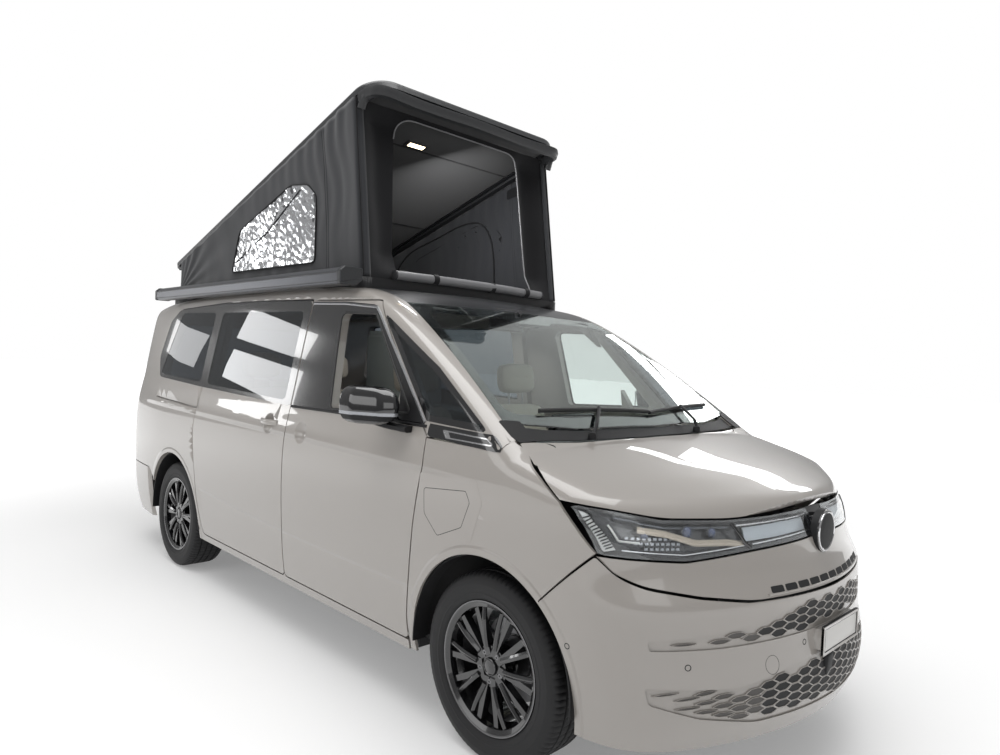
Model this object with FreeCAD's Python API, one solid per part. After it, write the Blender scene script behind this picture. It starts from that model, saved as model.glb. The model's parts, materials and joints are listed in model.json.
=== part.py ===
import FreeCAD, Part
import math
import os
from FreeCAD import Vector

os.makedirs("parts", exist_ok=True)

# sizes in millimetres, measured ahead of the front axle, to the left and up from the ground
wheelbase = 3124
axle_shift = 1656.5
sill_z = 275
waist_z = 1000
roof_edge_y = 712
roof_rear_u = -4048
panel_gap = 7
door_thick = 45
glass_thick = 5
frame_thick = 40
frame_bite = 1.25
skin_push = Vector(0.3, 0.75, -0.55)
wall_thick = (door_thick + panel_gap + frame_bite) / skin_push.y
pin_r = 5
small_pin_r = 3.5
pin_gap = 0.3
arch_r = 425
liner_step = 17
liner_r = arch_r + liner_step
tyre_r = 355
tyre_w = 235
rim_r = 246
rim_w = 214
track_y = 810
king_y = 695
seat_gap = 0.3

# the body skin: curves of position or height, joined by smooth edges


class Curve:
    """natural cubic spline through (place, value) pairs, straight beyond its ends"""

    def __init__(self, *pairs):
        pairs = sorted(pairs)
        self.at = [pair[0] for pair in pairs]
        self.value = [pair[1] for pair in pairs]
        count = len(pairs)
        step = [self.at[i + 1] - self.at[i] for i in range(count - 1)]
        low = [0.0] * count
        mid = [1.0] * count
        high = [0.0] * count
        right = [0.0] * count
        for i in range(1, count - 1):
            low[i] = step[i - 1]
            mid[i] = 2 * (step[i - 1] + step[i])
            high[i] = step[i]
            rise = (self.value[i + 1] - self.value[i]) / step[i]
            fall = (self.value[i] - self.value[i - 1]) / step[i - 1]
            right[i] = 6 * (rise - fall)
        for i in range(1, count):
            ratio = low[i] / mid[i - 1]
            mid[i] -= ratio * high[i - 1]
            right[i] -= ratio * right[i - 1]
        bend = [0.0] * count
        for i in range(count - 2, 0, -1):
            bend[i] = (right[i] - high[i] * bend[i + 1]) / mid[i]
        self.bend = bend
        self.step = step

    def __call__(self, place):
        at, value, bend, step = self.at, self.value, self.bend, self.step
        if place <= at[0]:
            slope = (value[1] - value[0]) / step[0] - step[0] * (2 * bend[0] + bend[1]) / 6
            return value[0] + slope * (place - at[0])
        if place >= at[-1]:
            slope = (value[-1] - value[-2]) / step[-1] + step[-1] * (2 * bend[-1] + bend[-2]) / 6
            return value[-1] + slope * (place - at[-1])
        i = 0
        while at[i + 1] < place:
            i += 1
        a = (at[i + 1] - place) / step[i]
        b = (place - at[i]) / step[i]
        curve = (a ** 3 - a) * bend[i] + (b ** 3 - b) * bend[i + 1]
        return a * value[i] + b * value[i + 1] + curve * step[i] ** 2 / 6


half_width = Curve((200, 900), (330, 928), (550, 953), (770, 965), (950, 966), (1090, 955),
                   (1200, 932), (1500, 873), (1775, 816), (1900, 790))
nose_line = Curve((230, 870), (300, 905), (400, 930), (560, 908), (700, 903), (750, 893),
                  (800, 868), (850, 852), (920, 846), (1000, 840), (1060, 826))
bonnet_line = Curve((860, 1008), (830, 1035), (760, 1062), (600, 1108), (400, 1152), (200, 1190),
                    (60, 1212), (-100, 1235))
screen_line = Curve((250, 1112), (110, 1212), (-200, 1420), (-500, 1600), (-800, 1755),
                    (-950, 1817), (-1100, 1870))
roof_line = Curve((-700, 1790), (-900, 1826), (-1100, 1858), (-1500, 1888), (-2500, 1900),
                  (-3500, 1876), (-4000, 1830), (-4200, 1800))
tail_line = Curve((230, -4150), (330, -4205), (500, -4243), (650, -4232), (800, -4222),
                  (1200, -4208), (1500, -4184), (1750, -4158), (1900, -4138))


def join_max(a, b, blend):
    """the larger of two values, with the corner between them rounded"""
    near = max(blend - abs(a - b), 0.0) / blend
    return max(a, b) + near ** 3 * blend / 6


def body_side_y(u, z):
    width = half_width(z)
    if u < -3300:
        width -= 8.0e-5 * (u + 3300) ** 2
    if u > -200:
        width -= 3.0e-5 * (u + 200) ** 2
    return width


def body_top_z(u, y):
    cab = -join_max(-screen_line(u + 8.0e-5 * y * y), 4.0e-5 * y * y - roof_line(u), 60.0)
    if u < -300:
        return cab
    bow = 0.5e-4 + 3.6e-4 * max(0.0, min(1.0, u / 830))
    return join_max(bonnet_line(u + bow * y * y) - 3.0e-5 * y * y, cab, 12.0)


def outside(u, y, z):
    """above zero outside the body, below zero inside it"""
    y = abs(y)
    level = join_max(y - body_side_y(u, z), z - body_top_z(u, y), 110.0)
    if u > -200:
        blend = max(60.0, 260.0 - 2 * max(0.0, z - 1000))
        level = join_max(level, u - nose_line(z) + 3.65e-4 * y * y, blend)
    if u < -3000:
        blend = 230.0 - 0.32 * max(0.0, min(400.0, z - 1300))
        level = join_max(level, tail_line(z) + 1.0e-4 * y * y - u, blend)
    return level


def skin(start, way):
    """where a line from a point inside the body comes out through its skin"""
    near = 0.0
    far = 1600.0
    for step in range(36):
        mid = (near + far) / 2
        if outside(start[0] + way[0] * mid, start[1] + way[1] * mid, start[2] + way[2] * mid) > 0:
            far = mid
        else:
            near = mid
    return Vector(start[0] + way[0] * near, start[1] + way[1] * near, start[2] + way[2] * near)


def sheet(rows):
    surface = Part.BSplineSurface()
    surface.interpolate(rows)
    return surface.toShape()


def spread(first, last, count):
    return [first + (last - first) * i / (count - 1) for i in range(count)]


# outlines, each corner with its own rounding, and the prisms that cut panels out of the skin


def ring(place, corners):
    legs = []
    count = len(corners)
    for i in range(count):
        here = Vector(corners[i][0], corners[i][1], 0)
        radius = corners[i][2] if len(corners[i]) > 2 else 0
        if radius == 0:
            legs.append((here, here, here))
            continue
        before = Vector(corners[i - 1][0], corners[i - 1][1], 0) - here
        after = Vector(corners[(i + 1) % count][0], corners[(i + 1) % count][1], 0) - here
        before.normalize()
        after.normalize()
        half = before.getAngle(after) / 2
        middle = before + after
        middle.normalize()
        reach = radius / math.tan(half)
        legs.append((here + before * reach, here + middle * (radius / math.sin(half) - radius),
                     here + after * reach))
    edges = []
    for i in range(count):
        start, middle, stop = legs[i]
        if start != stop:
            edges.append(Part.Arc(place(start), place(middle), place(stop)).toShape())
        following = legs[(i + 1) % count][0]
        if (following - stop).Length > 0.01:
            edges.append(Part.LineSegment(place(stop), place(following)).toShape())
    return Part.Wire(edges)


def plate(place, corners, push, grow=0):
    face = Part.Face(ring(place, corners))
    if grow:
        face = face.makeOffset2D(grow)
    return face.extrude(push)


def side_cut(corners, y_from=-1300, y_to=-500, grow=0):
    return plate(lambda p: Vector(p.x, y_from, p.y), corners, Vector(0, y_to - y_from, 0), grow)


def plan_cut(corners, z_from=0, z_to=2400, grow=0):
    return plate(lambda p: Vector(p.x, p.y, z_from), corners, Vector(0, 0, z_to - z_from), grow)


def end_cut(corners, u_from, u_to, grow=0):
    return plate(lambda p: Vector(u_from, p.x, p.y), corners, Vector(u_to - u_from, 0, 0), grow)


def box(u0, u1, y0, y1, z0, z1):
    return Part.makeBox(u1 - u0, y1 - y0, z1 - z0, Vector(u0, y0, z0))


def rod(start, stop, radius):
    way = stop - start
    return Part.makeCylinder(radius, way.Length, start, way)


def tube(start, stop, radius, bore):
    return rod(start, stop, radius).cut(rod(start, stop, bore))


def mirrored(shape):
    return shape.mirror(Vector(0, 0, 0), Vector(0, 1, 0))


def both(shape):
    return shape.fuse(mirrored(shape)).removeSplitter()


def one(shape):
    """the largest solid of a cut"""
    return max(shape.Solids, key=lambda solid: solid.Volume)


def save(name, *shapes):
    solids = []
    for shape in shapes:
        solids.extend(shape.Solids)
    whole = Part.makeCompound(solids)
    whole.translate(Vector(axle_shift, 0, 0))
    whole.exportStep("parts/" + name + ".step")
    print(name, len(solids), [round(v) for v in (whole.BoundBox.XMin, whole.BoundBox.XMax,
          whole.BoundBox.YMin, whole.BoundBox.YMax, whole.BoundBox.ZMin, whole.BoundBox.ZMax)],
          all(solid.isValid() for solid in solids))


# skin sheets: right side with its roof edge, roof, screen, tail, nose and bonnet

def flank(columns, levels, waist):
    """a grid of skin points up a side and over its top edge, for each plan place and turn"""
    rows = []
    for u, turn in columns:
        away = Vector(-math.sin(turn), -math.cos(turn), 0)
        start = Vector(u, 0, waist)
        rim = start + (skin(start, away) - start) * 0.84
        top_z = body_top_z(rim.x, rim.y)
        under = Vector(u, 0, top_z - 70)
        reach = (skin(under, away) - under).Length
        edge = start + away * reach
        ridge = math.atan2(body_top_z(edge.x, edge.y) - waist, reach)
        row = [skin((u, 0, z), away) for z in levels]
        for share in (0, 0.07, 0.14, 0.22, 0.31, 0.41, 0.51, 0.61, 0.71, 0.8, 0.88, 0.95):
            row.append(skin(start, away * math.cos(ridge * share)
                            + Vector(0, 0, math.sin(ridge * share))))
        for back in (0, 12, 30, 52, 78, 108, 140):
            over = away * (reach - back)
            over.z = body_top_z(u + over.x, over.y) - waist
            over.normalize()
            row.append(skin(start, over))
        rows.append(row)
    return sheet(rows)


side_levels = [255, 300, 350, 410, 480, 560, 640, 720, 800, 880, 950]
side_columns = [(u, 0) for u in spread(60, -3900, 61)]
side_columns += [(-3900, math.radians(a)) for a in (2, 4.5, 7, 9.5, 12, 14.5, 17, 20, 23, 26)]
side_sheet = flank(side_columns, side_levels, waist_z)
fender_columns = [(u, 0) for u in spread(-500, 300, 15)]
fender_columns += [(300, -math.radians(a)) for a in (2, 4, 6, 8, 10, 12, 14, 16, 18)]
fender_sheet = flank(fender_columns, side_levels, waist_z)

roof_sheet = sheet([[skin((u, y, waist_z), (0, 0, 1)) for y in spread(-765, 765, 17)]
                    for u in spread(-780, -4060, 34)])
screen_sheet = sheet([[skin((u, y, 1050), (0, 0, 1)) for y in spread(-880, 880, 23)]
                      for u in spread(160, -960, 29)])

tail_turns = [math.radians(a) for a in spread(0, 70, 22)]
tail_rows = []
for turn in tail_turns:
    side_way = -math.sin(turn)
    back_way = -math.cos(turn)
    row = [skin((-3300, 0, z), (back_way, side_way, 0)) for z in spread(250, 950, 15)]
    for lift in [math.radians(a) for a in (0, 5, 10, 15, 20, 25, 30, 34, 37, 39.5, 42, 44, 46, 48)]:
        row.append(skin((-3300, 0, waist_z), (back_way * math.cos(lift),
                                              side_way * math.cos(lift), math.sin(lift))))
    tail_rows.append(row)
tail_sheet = sheet(tail_rows)

nose_turns = [math.radians(a) for a in spread(0, 82, 30)]
nose_sheet = sheet([[skin((0, 0, z), (math.cos(a), -math.sin(a), 0)) for z in spread(245, 1065, 36)]
                    for a in nose_turns])


def bonnet_point(u, y):
    start = (-200, 0, 400)
    way = Vector(u - start[0], y - start[1], 1150 - start[2])
    way.normalize()
    return skin(start, way)


bonnet_sheet = sheet([[bonnet_point(u, y) for y in spread(0, -1150, 25)]
                      for u in spread(0, 960, 33)])

# side outlines, as distance ahead of the front axle, height and corner radius

front_door_line = [(-395, 1183, 10), (-386, 1060, 120), (-424, 830, 500), (-473, 420, 200),
                   (-470, 322, 25), (-1548, 322, 25), (-1548, 1782, 25), (-938, 1766, 30)]
front_window_line = [(-520, 1262, 12), (-1165, 1232, 30), (-1240, 1716, 40), (-930, 1704, 30)]
slide_door_line = [(-1555, 322, 25), (-2632, 322, 40), (-2702, 545, 120), (-2765, 969, 300),
                   (-2738, 1245, 10), (-2738, 1788, 25), (-1555, 1788, 25)]
slide_window_line = [(-1620, 1236, 30), (-2690, 1268, 30), (-2690, 1748, 40), (-1620, 1736, 40)]
rear_window_line = [(-2785, 1272, 30), (-3560, 1300, 30), (-3380, 1758, 60), (-2785, 1750, 40)]
quarter_glass_line = [(-880, 1712, 10), (-412, 1244, 10), (-40, 1230, 12), (-205, 1338, 300),
                      (-400, 1466, 300)]
front_arch = Part.makeCylinder(arch_r, 900, Vector(0, -1300, tyre_r), Vector(0, 1, 0))
rear_arch = Part.makeCylinder(arch_r, 900, Vector(-wheelbase, -1300, tyre_r), Vector(0, 1, 0))

screen_line_plan = [(-30, -852), (47, -500, 400), (68, 0, 900), (47, 500, 400), (-30, 852),
                    (-867, roof_edge_y), (-842, 400, 400), (-835, 0, 900), (-842, -400, 400),
                    (-867, -roof_edge_y)]
roof_plan = [(-867, -roof_edge_y), (-842, -400, 400), (-835, 0, 900), (-842, 400, 400),
             (-867, roof_edge_y), (roof_rear_u, roof_edge_y), (roof_rear_u, -roof_edge_y)]
roof_hatch_plan = [(-1320, -560, 60), (-1320, 560, 60), (-2950, 560, 60), (-2950, -560, 60)]

fender_line = [(-455, 285), (-465, 420, 60), (-417, 830, 500), (-379, 1060, 120), (-388, 1176),
               (36, 1170), (50, 1205), (232, 1106, 300), (342, 1040), (480, 895), (275, 694),
               (275, 250)]

tail_gate_line = [(-690, 1830, 60), (-852, 1190, 400), (-862, 960, 200), (-850, 622, 40),
                  (850, 622, 40), (862, 960, 200), (852, 1190, 400), (690, 1830, 60)]
tail_window_line = [(-610, 1690, 60), (-735, 1240, 60), (735, 1240, 60), (610, 1690, 60)]

# body sides: pillars, roof edges, sills and rear quarters, with the frames behind the doors

side_slab = side_sheet.extrude(skin_push * wall_thick)
body_side = side_slab.common(side_cut([(-4400, sill_z), (-455, sill_z), (-455, 330), (-380, 1183),
                                       (42, 1176), (48, 1232), (-700, 2100), (-4400, 2100)]))
front_opening = side_cut(front_door_line, grow=panel_gap)
front_opening = front_opening.fuse(side_cut([(-600, 322 - panel_gap), (-340, 322 - panel_gap),
                                             (-340, 1183), (-600, 1183)]))
for cutter in (front_opening, side_cut(slide_door_line, grow=panel_gap), rear_arch,
               side_cut(rear_window_line), side_cut(quarter_glass_line),
               plan_cut(screen_line_plan), plan_cut(roof_plan),
               box(-4500, roof_rear_u, -roof_edge_y - 1, 0, 1700, 2100),
               end_cut(tail_gate_line, -4500, -3980, grow=panel_gap),
               side_cut([(-3474, 200), (-3514, 562), (-3598, 620), (-4500, 620), (-4500, 200)]),
               box(-4500, -3985, -1200, -700, 1000, 1140)):
    body_side = body_side.cut(cutter)
body_side = body_side.cut(side_cut(fender_line, grow=panel_gap / 2))
body_side = one(body_side.cut(box(-470, -400, -1300, 0, 0, 322 - panel_gap)))

# door frame behind the skin: ring, middle post and sill step, in one piece with the sill
inner_slab = side_sheet.extrude(Vector(0, frame_thick, 0))
inner_slab.translate(Vector(0, door_thick + panel_gap, 0))
frame_outer = [(-1480, 300), (-2790, 300), (-2790, 1815), (-640, 1815), (-640, 1400), (-640, 300)]
door_frame = inner_slab.common(side_cut(frame_outer))
for cutter in (side_cut([(-700, 372, 60), (-1500, 372, 60), (-1500, 1735, 60), (-990, 1722, 60),
                         (-700, 1500, 60)]),
               side_cut([(-1600, 372, 60), (-2640, 372, 60), (-2710, 900, 60), (-2690, 1740, 60),
                         (-1600, 1735, 60)]),
               side_cut([(-600, 1900), (-600, 1190), (-1020, 1900)]),
               rear_arch, box(-4500, 500, -roof_edge_y - 30, 0, 0, 2400)):
    door_frame = door_frame.cut(cutter)
door_frame = one(door_frame)
body_side = one(body_side.fuse(door_frame))
slot_deep = 22
rail_slot = [(-3528, 1136), (-3528, 1148), (-2700, 1120), (-2700, 1108)]
body_side = one(body_side.cut(side_sheet.extrude(Vector(0, slot_deep, 0)).common(side_cut(rail_slot))))

# roof skin with the hatch under the pop-up roof, and the windscreen in its opening
roof_panel = roof_sheet.extrude(Vector(0, 0, -26)).common(plan_cut(roof_plan))
roof_panel = roof_panel.cut(plan_cut(roof_hatch_plan))
windscreen = screen_sheet.extrude(Vector(-0.5, 0, -0.85) * glass_thick)
windscreen = one(windscreen.common(plan_cut(screen_line_plan)))
save("windscreen", windscreen)

# rear: tailgate with its glass, lamps and bumper
tail_slab = both(tail_sheet.extrude(Vector(0.8, 0.5, 0) * 40).common(box(-4500, -3500, -1200, 0, 0, 2100)))
gate_reach = end_cut(tail_gate_line, -4500, -3980)
tailgate = tail_slab.common(gate_reach).cut(end_cut(tail_window_line, -4500, -3900))
tail_glass_slab = both(tail_sheet.extrude(Vector(glass_thick, 0, 0))
                       .common(box(-4500, -3500, -1200, 0, 0, 2100)))
tail_glass = one(tail_glass_slab.common(end_cut(tail_window_line, -4500, -3900)))
gate_hinge_u = -4078
gate_hinge_y = 480
gate_hinge_z = body_top_z(gate_hinge_u, gate_hinge_y) - 11
gate_edge_r = 24
gate_axis = Vector(gate_hinge_u, -900, gate_hinge_z)
gate_edge = rod(gate_axis, gate_axis + Vector(0, 1800, 0), gate_edge_r)
tailgate = one(tailgate.cut(box(gate_hinge_u, -3800, -900, 900, 1600, 2100).cut(gate_edge)))
tailgate = one(tailgate.cut(box(roof_rear_u - 2 * panel_gap, -3800, -900, 900, 1600, 2100)))
gate_hinges = []
for side in (-1, 1):
    middle = Vector(gate_hinge_u, side * gate_hinge_y, gate_hinge_z)
    long_way = Vector(0, 20, 0)
    tailgate = tailgate.fuse(rod(middle - long_way, middle + long_way, 8.5))
    tailgate = tailgate.cut(box(gate_hinge_u - 14, gate_hinge_u + 40, middle.y - 7, middle.y + 7,
                                gate_hinge_z - 60, gate_hinge_z + 40))
    tailgate = tailgate.cut(rod(middle - long_way * 2, middle + long_way * 2, small_pin_r + pin_gap))
    arm = plate(lambda p: Vector(p.x, middle.y - 4, p.y), [(gate_hinge_u - 5, gate_hinge_z),
                (gate_hinge_u, gate_hinge_z - 6), (-3990, gate_hinge_z - 34),
                (-3990, gate_hinge_z - 4), (-4040, gate_hinge_z - 4), (gate_hinge_u, gate_hinge_z + 6)],
                Vector(0, 8, 0))
    gate_hinges.append(arm.fuse(rod(middle - long_way * 0.9, middle + long_way * 0.9, small_pin_r)))
tailgate = one(tailgate)
save("tailgate", tailgate)
save("tailgate_glass", tail_glass)
lamp_zone = box(-4500, -3985, -1200, -700, 1000, 1140).cut(
    end_cut(tail_gate_line, -4500, -3950, grow=panel_gap))
tail_lamp = one(tail_sheet.extrude(Vector(0.7, 0.7, 0) * 50).common(lamp_zone))
save("tail_lamps", tail_lamp, mirrored(tail_lamp))
rear_bumper = tail_slab.common(side_cut([(-3480, 250), (-3520, 560), (-3600, 613), (-4500, 613),
                                         (-4500, 250)], -1300, 1300))
rear_bumper = one(rear_bumper.cut(rear_arch).cut(mirrored(rear_arch)))
save("rear_bumper", rear_bumper)

# doors: skin-shaped slabs with a window opening, and fixed glass


def door(line, window):
    slab = side_sheet.extrude(Vector(0, door_thick, 0)).common(side_cut(line))
    return one(slab.cut(side_cut(window)))


def pane(window):
    return one(side_sheet.extrude(Vector(0, glass_thick, 0)).common(side_cut(window)))


bow_r = 195
bow_out = 20
bow_half_angle = 28
bar_half_high = 15
bar_half_thick = 8
dish_r = 58
dish_deep = 25


def handle(u, z):
    """a dish cut into the skin and a pull bar bowed out over it"""
    face = skin((u, 0, z), (0, -1, 0))
    ball_r = (dish_r ** 2 + dish_deep ** 2) / (2 * dish_deep)
    dish = Part.makeSphere(ball_r, face - Vector(0, ball_r - dish_deep, 0))
    middle = face - Vector(0, bow_out, 0)
    centre = middle + Vector(0, bow_r, 0)
    oval = Part.Ellipse(middle + Vector(0, 0, bar_half_high), middle + Vector(0, bar_half_thick, 0), middle)
    bar = Part.Face(Part.Wire(oval.toShape()))
    bar.rotate(centre, Vector(0, 0, 1), -bow_half_angle)
    return dish, bar.revolve(centre, Vector(0, 0, 1), 2 * bow_half_angle)


def with_handle(panel, u, z):
    dish, bar = handle(u, z)
    return one(panel.cut(dish).fuse(bar))


hinge_u = -480
hinge_y = -945
hinge_levels = (720, 980)
barrel_wall = 4
barrel_r = pin_r + barrel_wall
barrel_half = 18
front_door = door(front_door_line, front_window_line)
door_hinges = []
sill_half = 920
floor_y = sill_half - door_thick - panel_gap - frame_thick
side_wall_y = floor_y - 28
foot_thick = 6
post_y = -floor_y - 1 - foot_thick
for z in hinge_levels:
    pocket = box(hinge_u - 20, hinge_u + 140, -958, -800, z - 36, z + 36)
    front_door = front_door.cut(pocket)
    barrel = rod(Vector(hinge_u, hinge_y, z - barrel_half), Vector(hinge_u, hinge_y, z + barrel_half),
                 barrel_r)
    leaf = box(hinge_u - 26, hinge_u, hinge_y - 3, hinge_y + 3, z - barrel_half, z + barrel_half)
    bore = rod(Vector(hinge_u, hinge_y, z - 40), Vector(hinge_u, hinge_y, z + 40), pin_r + pin_gap)
    front_door = front_door.fuse(barrel.fuse(leaf).cut(bore))
    pin = rod(Vector(hinge_u, hinge_y, z - 28), Vector(hinge_u, hinge_y, z + 28), pin_r)
    lugs = []
    for low in (z - 28, z + barrel_half + 2):
        eye = rod(Vector(hinge_u, hinge_y, low), Vector(hinge_u, hinge_y, low + 8), barrel_r)
        arm = box(hinge_u - 8, hinge_u + 8, hinge_y, post_y, low, low + 8)
        lugs.append(eye.fuse(arm))
    foot = box(hinge_u - 20, hinge_u + 20, post_y, post_y + foot_thick, z - 40, z + 40)
    door_hinges.append(pin.fuse(lugs + [foot]))
front_door = with_handle(one(front_door.cut(front_arch)), -1392, 1104)
save("front_door_right", front_door)
save("front_door_left", mirrored(front_door))
save("body_sides", body_side, mirrored(body_side))
save("front_door_glass_left", mirrored(pane(front_window_line)))
slide_door = door(slide_door_line, slide_window_line)
guide_sheet = side_sheet.copy()
guide_sheet.translate(Vector(0, door_thick, 0))
guide_slab = guide_sheet.extrude(Vector(0, panel_gap - seat_gap, 0))
guides = [guide_slab.common(side_cut([(u, z), (u, z + 24), (u + 60, z + 24), (u + 60, z)]))
          for u, z in ((-1640, 335), (-1640, 1752), (-2755, 1100))]
slide_door = with_handle(one(slide_door.fuse(guides).cut(rear_arch)), -1748, 1120)
save("sliding_doors", slide_door, mirrored(slide_door))
side_panes = [pane(line) for line in (slide_window_line, rear_window_line, quarter_glass_line)]
save("side_glass", *(side_panes + [mirrored(shape) for shape in side_panes]))

# front fenders, bonnet, lamps, nose panel, bumper and grilles
fender = fender_sheet.extrude(Vector(0, 12, 0)).common(side_cut(fender_line)).cut(front_arch)
fender = one(fender)
groove = 3
flap_line = [(-359, 982, 25), (-107, 1007, 20), (-80, 966, 15), (-122, 864, 40), (-263, 804, 30),
             (-349, 879, 40)]
flap_groove = fender_sheet.extrude(Vector(0, groove, 0)).common(side_cut(flap_line))
charge_fender = one(fender.cut(flap_groove.cut(side_cut(flap_line, grow=-groove))))
save("front_fenders", charge_fender, mirrored(fender))

lamp_top = [(-949, 1044), (-885, 1034), (-730, 1003, 600), (-494, 995, 900), (-58, 1006)]
lamp_foot = [(-58, 912), (-438, 894, 900), (-683, 873, 200), (-919, 892)]
lamp_outer = [(345, 1046), (484, 892), (1000, 860), (1000, 1060)]
bonnet_front = [(-1200, 1057), (-949, 1050), (-885, 1040), (-730, 1009, 600), (-494, 1001, 900),
                (0, 1013), (0, 1500), (-1200, 1500)]
bonnet_flank = [(240, 1116, 300), (52, 1216), (52, 1600), (1100, 1600), (1100, 900), (600, 900),
                (350, 1046)]
bonnet_rear = [(64, -1200), (64, -864), (110, -560, 400), (138, -150), (138, 0), (1100, 0),
               (1100, -1200)]
bonnet_half = bonnet_sheet.extrude(Vector(-0.35, 0.45, -0.8) * 24)
bonnet_half = bonnet_half.common(end_cut(bonnet_front, -100, 1100))
bonnet_half = bonnet_half.common(side_cut(bonnet_flank, -1300, 0))
bonnet_half = one(bonnet_half.common(plan_cut(bonnet_rear)))
bonnet_hinge_u = 122
bonnet_hinge_y = 620
bonnet_hinge_z = body_top_z(bonnet_hinge_u, bonnet_hinge_y) - 10
hinge_slot = box(50, bonnet_hinge_u + 14, -bonnet_hinge_y - 7, -bonnet_hinge_y + 7,
                 bonnet_hinge_z - 60, bonnet_hinge_z + 6.2)


def bonnet_rod(half, radius):
    return rod(Vector(bonnet_hinge_u, -bonnet_hinge_y - half, bonnet_hinge_z),
               Vector(bonnet_hinge_u, -bonnet_hinge_y + half, bonnet_hinge_z), radius)


bonnet_half = bonnet_half.fuse(bonnet_rod(19, 8.5)).cut(hinge_slot)
bonnet_half = one(bonnet_half.cut(bonnet_rod(24, small_pin_r + pin_gap)))
bonnet = both(bonnet_half)
save("bonnet", bonnet)
hinge_post = box(bonnet_hinge_u - 5.5, bonnet_hinge_u + 5.5, -bonnet_hinge_y - 4, -bonnet_hinge_y + 4,
                 1135, bonnet_hinge_z)
bonnet_hinge = bonnet_rod(20, small_pin_r).fuse([bonnet_rod(4, 5.5), hinge_post])

nose_push = Vector(-0.7, 0.7, 0)
nose_slab = nose_sheet.extrude(nose_push * 40).common(box(0, 1200, -1300, 0, 0, 1500))
lamp = one(nose_slab.common(end_cut(lamp_top + lamp_foot, 0, 1200)).common(side_cut(lamp_outer, -1300, 0)))
badge_z = 920
badge = Part.makeCylinder(80, 30, Vector(832, 0, badge_z), Vector(1, 0, 0))
badge = badge.common(box(800, 856, -100, 100, 800, 1100))
badge_hole = Part.makeCylinder(80 + seat_gap, 200, Vector(700, 0, badge_z), Vector(1, 0, 0))
lamp = one(lamp.cut(badge_hole))
save("headlamps", lamp, mirrored(lamp))
nose_thin = nose_sheet.extrude(nose_push * 6).common(box(0, 1200, -1300, 0, 0, 1500))
nose_line_up = [(-915, 886), (-683, 867, 200), (-438, 888, 900), (-58, 906), (0, 906), (0, 742),
                (-440, 742), (-494, 745, 200), (-669, 769, 300), (-836, 804, 200), (-888, 838, 60)]
nose_panel = nose_thin.common(end_cut(nose_line_up, 300, 1200))
nose_panel = one(nose_panel.cut(side_cut([(0, 1200), (0, 600), (275, 694), (484, 888), (484, 1200)],
                                         -1300, 0)))
nose_panel = both(one(nose_panel.cut(badge_hole)))
save("nose_panel", nose_panel)

# front bumper with two grille bands, and the plates behind them
bumper_line = [(-1300, 272), (-1300, 880), (-919, 880), (-888, 828, 100), (-836, 794, 200),
               (-669, 759, 300), (-494, 735, 200), (0, 729), (0, 272)]
upper_band = [(-838, 634, 8), (-828, 604, 8), (-600, 598), (0, 604), (0, 716), (-200, 712, 200),
              (-300, 698, 200), (-540, 655, 400)]
lower_band = [(-846, 490, 10), (-838, 438, 20), (-692, 386, 200), (-477, 341, 300), (0, 335),
              (0, 524), (-267, 507, 400), (-551, 468, 400)]
bumper = nose_thin.common(end_cut(bumper_line, 200, 1200)).cut(front_arch)
bumper = bumper.cut(side_cut([(-500, 0), (-500, 1200), (484, 1200), (484, 886), (275, 686), (275, 0)],
                             -1300, 0))
for band in (upper_band, lower_band):
    bumper = bumper.cut(end_cut(band, 400, 1200))
front_end = 930
plate_half = 166
plate_rim = 10
plate_sunk = 2.5
plate_base = box(890, front_end, -plate_half, 0, 528, 600).cut(nose_slab)
plate_base = plate_base.fuse(box(front_end - 5, front_end, -plate_half, 0, 508, 612))
plate_base = plate_base.cut(box(front_end - plate_sunk, front_end, plate_rim - plate_half, 0,
                                508 + plate_rim, 612 - plate_rim))
bumper = both(one(bumper.fuse(plate_base)))
save("front_bumper", bumper)
grille_sheet = nose_sheet.copy()
grille_sheet.translate(nose_push * (6 + seat_gap))
grille_slab = grille_sheet.extrude(nose_push * 5).common(box(0, 1200, -1300, 0, 0, 1500))
grilles = [both(one(grille_slab.common(end_cut(band, 400, 1200, grow=6)))) for band in
           (upper_band, lower_band)]
save("front_grilles", *grilles)

# floor, firewall and front frame
floor_top = 330
rail_top = 300
rail_inset = 9
floor_pan = plan_cut([(60, -floor_y), (-3960, -floor_y), (-4080, -680), (-4080, 680),
                      (-3960, floor_y), (60, floor_y)], rail_top, floor_top)
for side in (-1, 1):
    rail = box(arch_r + rail_inset - wheelbase, -480, -858, -790, 262, rail_top)
    floor_pan = floor_pan.fuse(rail if side < 0 else mirrored(rail))
    for place, radius in ((0, liner_r + seat_gap), (-wheelbase, arch_r)):
        start = Vector(place, side * (480 if place == 0 else 660), tyre_r)
        floor_pan = floor_pan.cut(rod(start, start + Vector(0, side * 500, 0), radius))
rear_boss = box(tail_line(335) + 32 + seat_gap, -4120, -20, 20, 335, 345)
floor_pan = floor_pan.fuse([box(-4120, -4080, -400, 400, rail_top, 345), rear_boss])
save("floor_pan", floor_pan.removeSplitter())

firewall = box(60, 66, -floor_y - 1, floor_y + 1, floor_top, 1130)
for side in (-1, 1):
    panel = box(-520, 60, -floor_y - 1, -side_wall_y, floor_top, 1130)
    firewall = firewall.fuse(panel if side < 0 else mirrored(panel))
    start = Vector(0, side * 480, tyre_r)
    firewall = firewall.cut(rod(start, start + Vector(0, side * 500, 0), liner_r + seat_gap))
firewall = firewall.fuse(door_hinges + [mirrored(shape) for shape in door_hinges])
cowl = plate(lambda p: Vector(p.x, -820, p.y), [(-70, 1130), (128, 1130), (128, 1160), (116, 1160),
             (104, 1142), (-70, 1156)], Vector(0, 1640, 0))
cowl = cowl.fuse([bonnet_hinge, mirrored(bonnet_hinge)]).removeSplitter()

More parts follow.
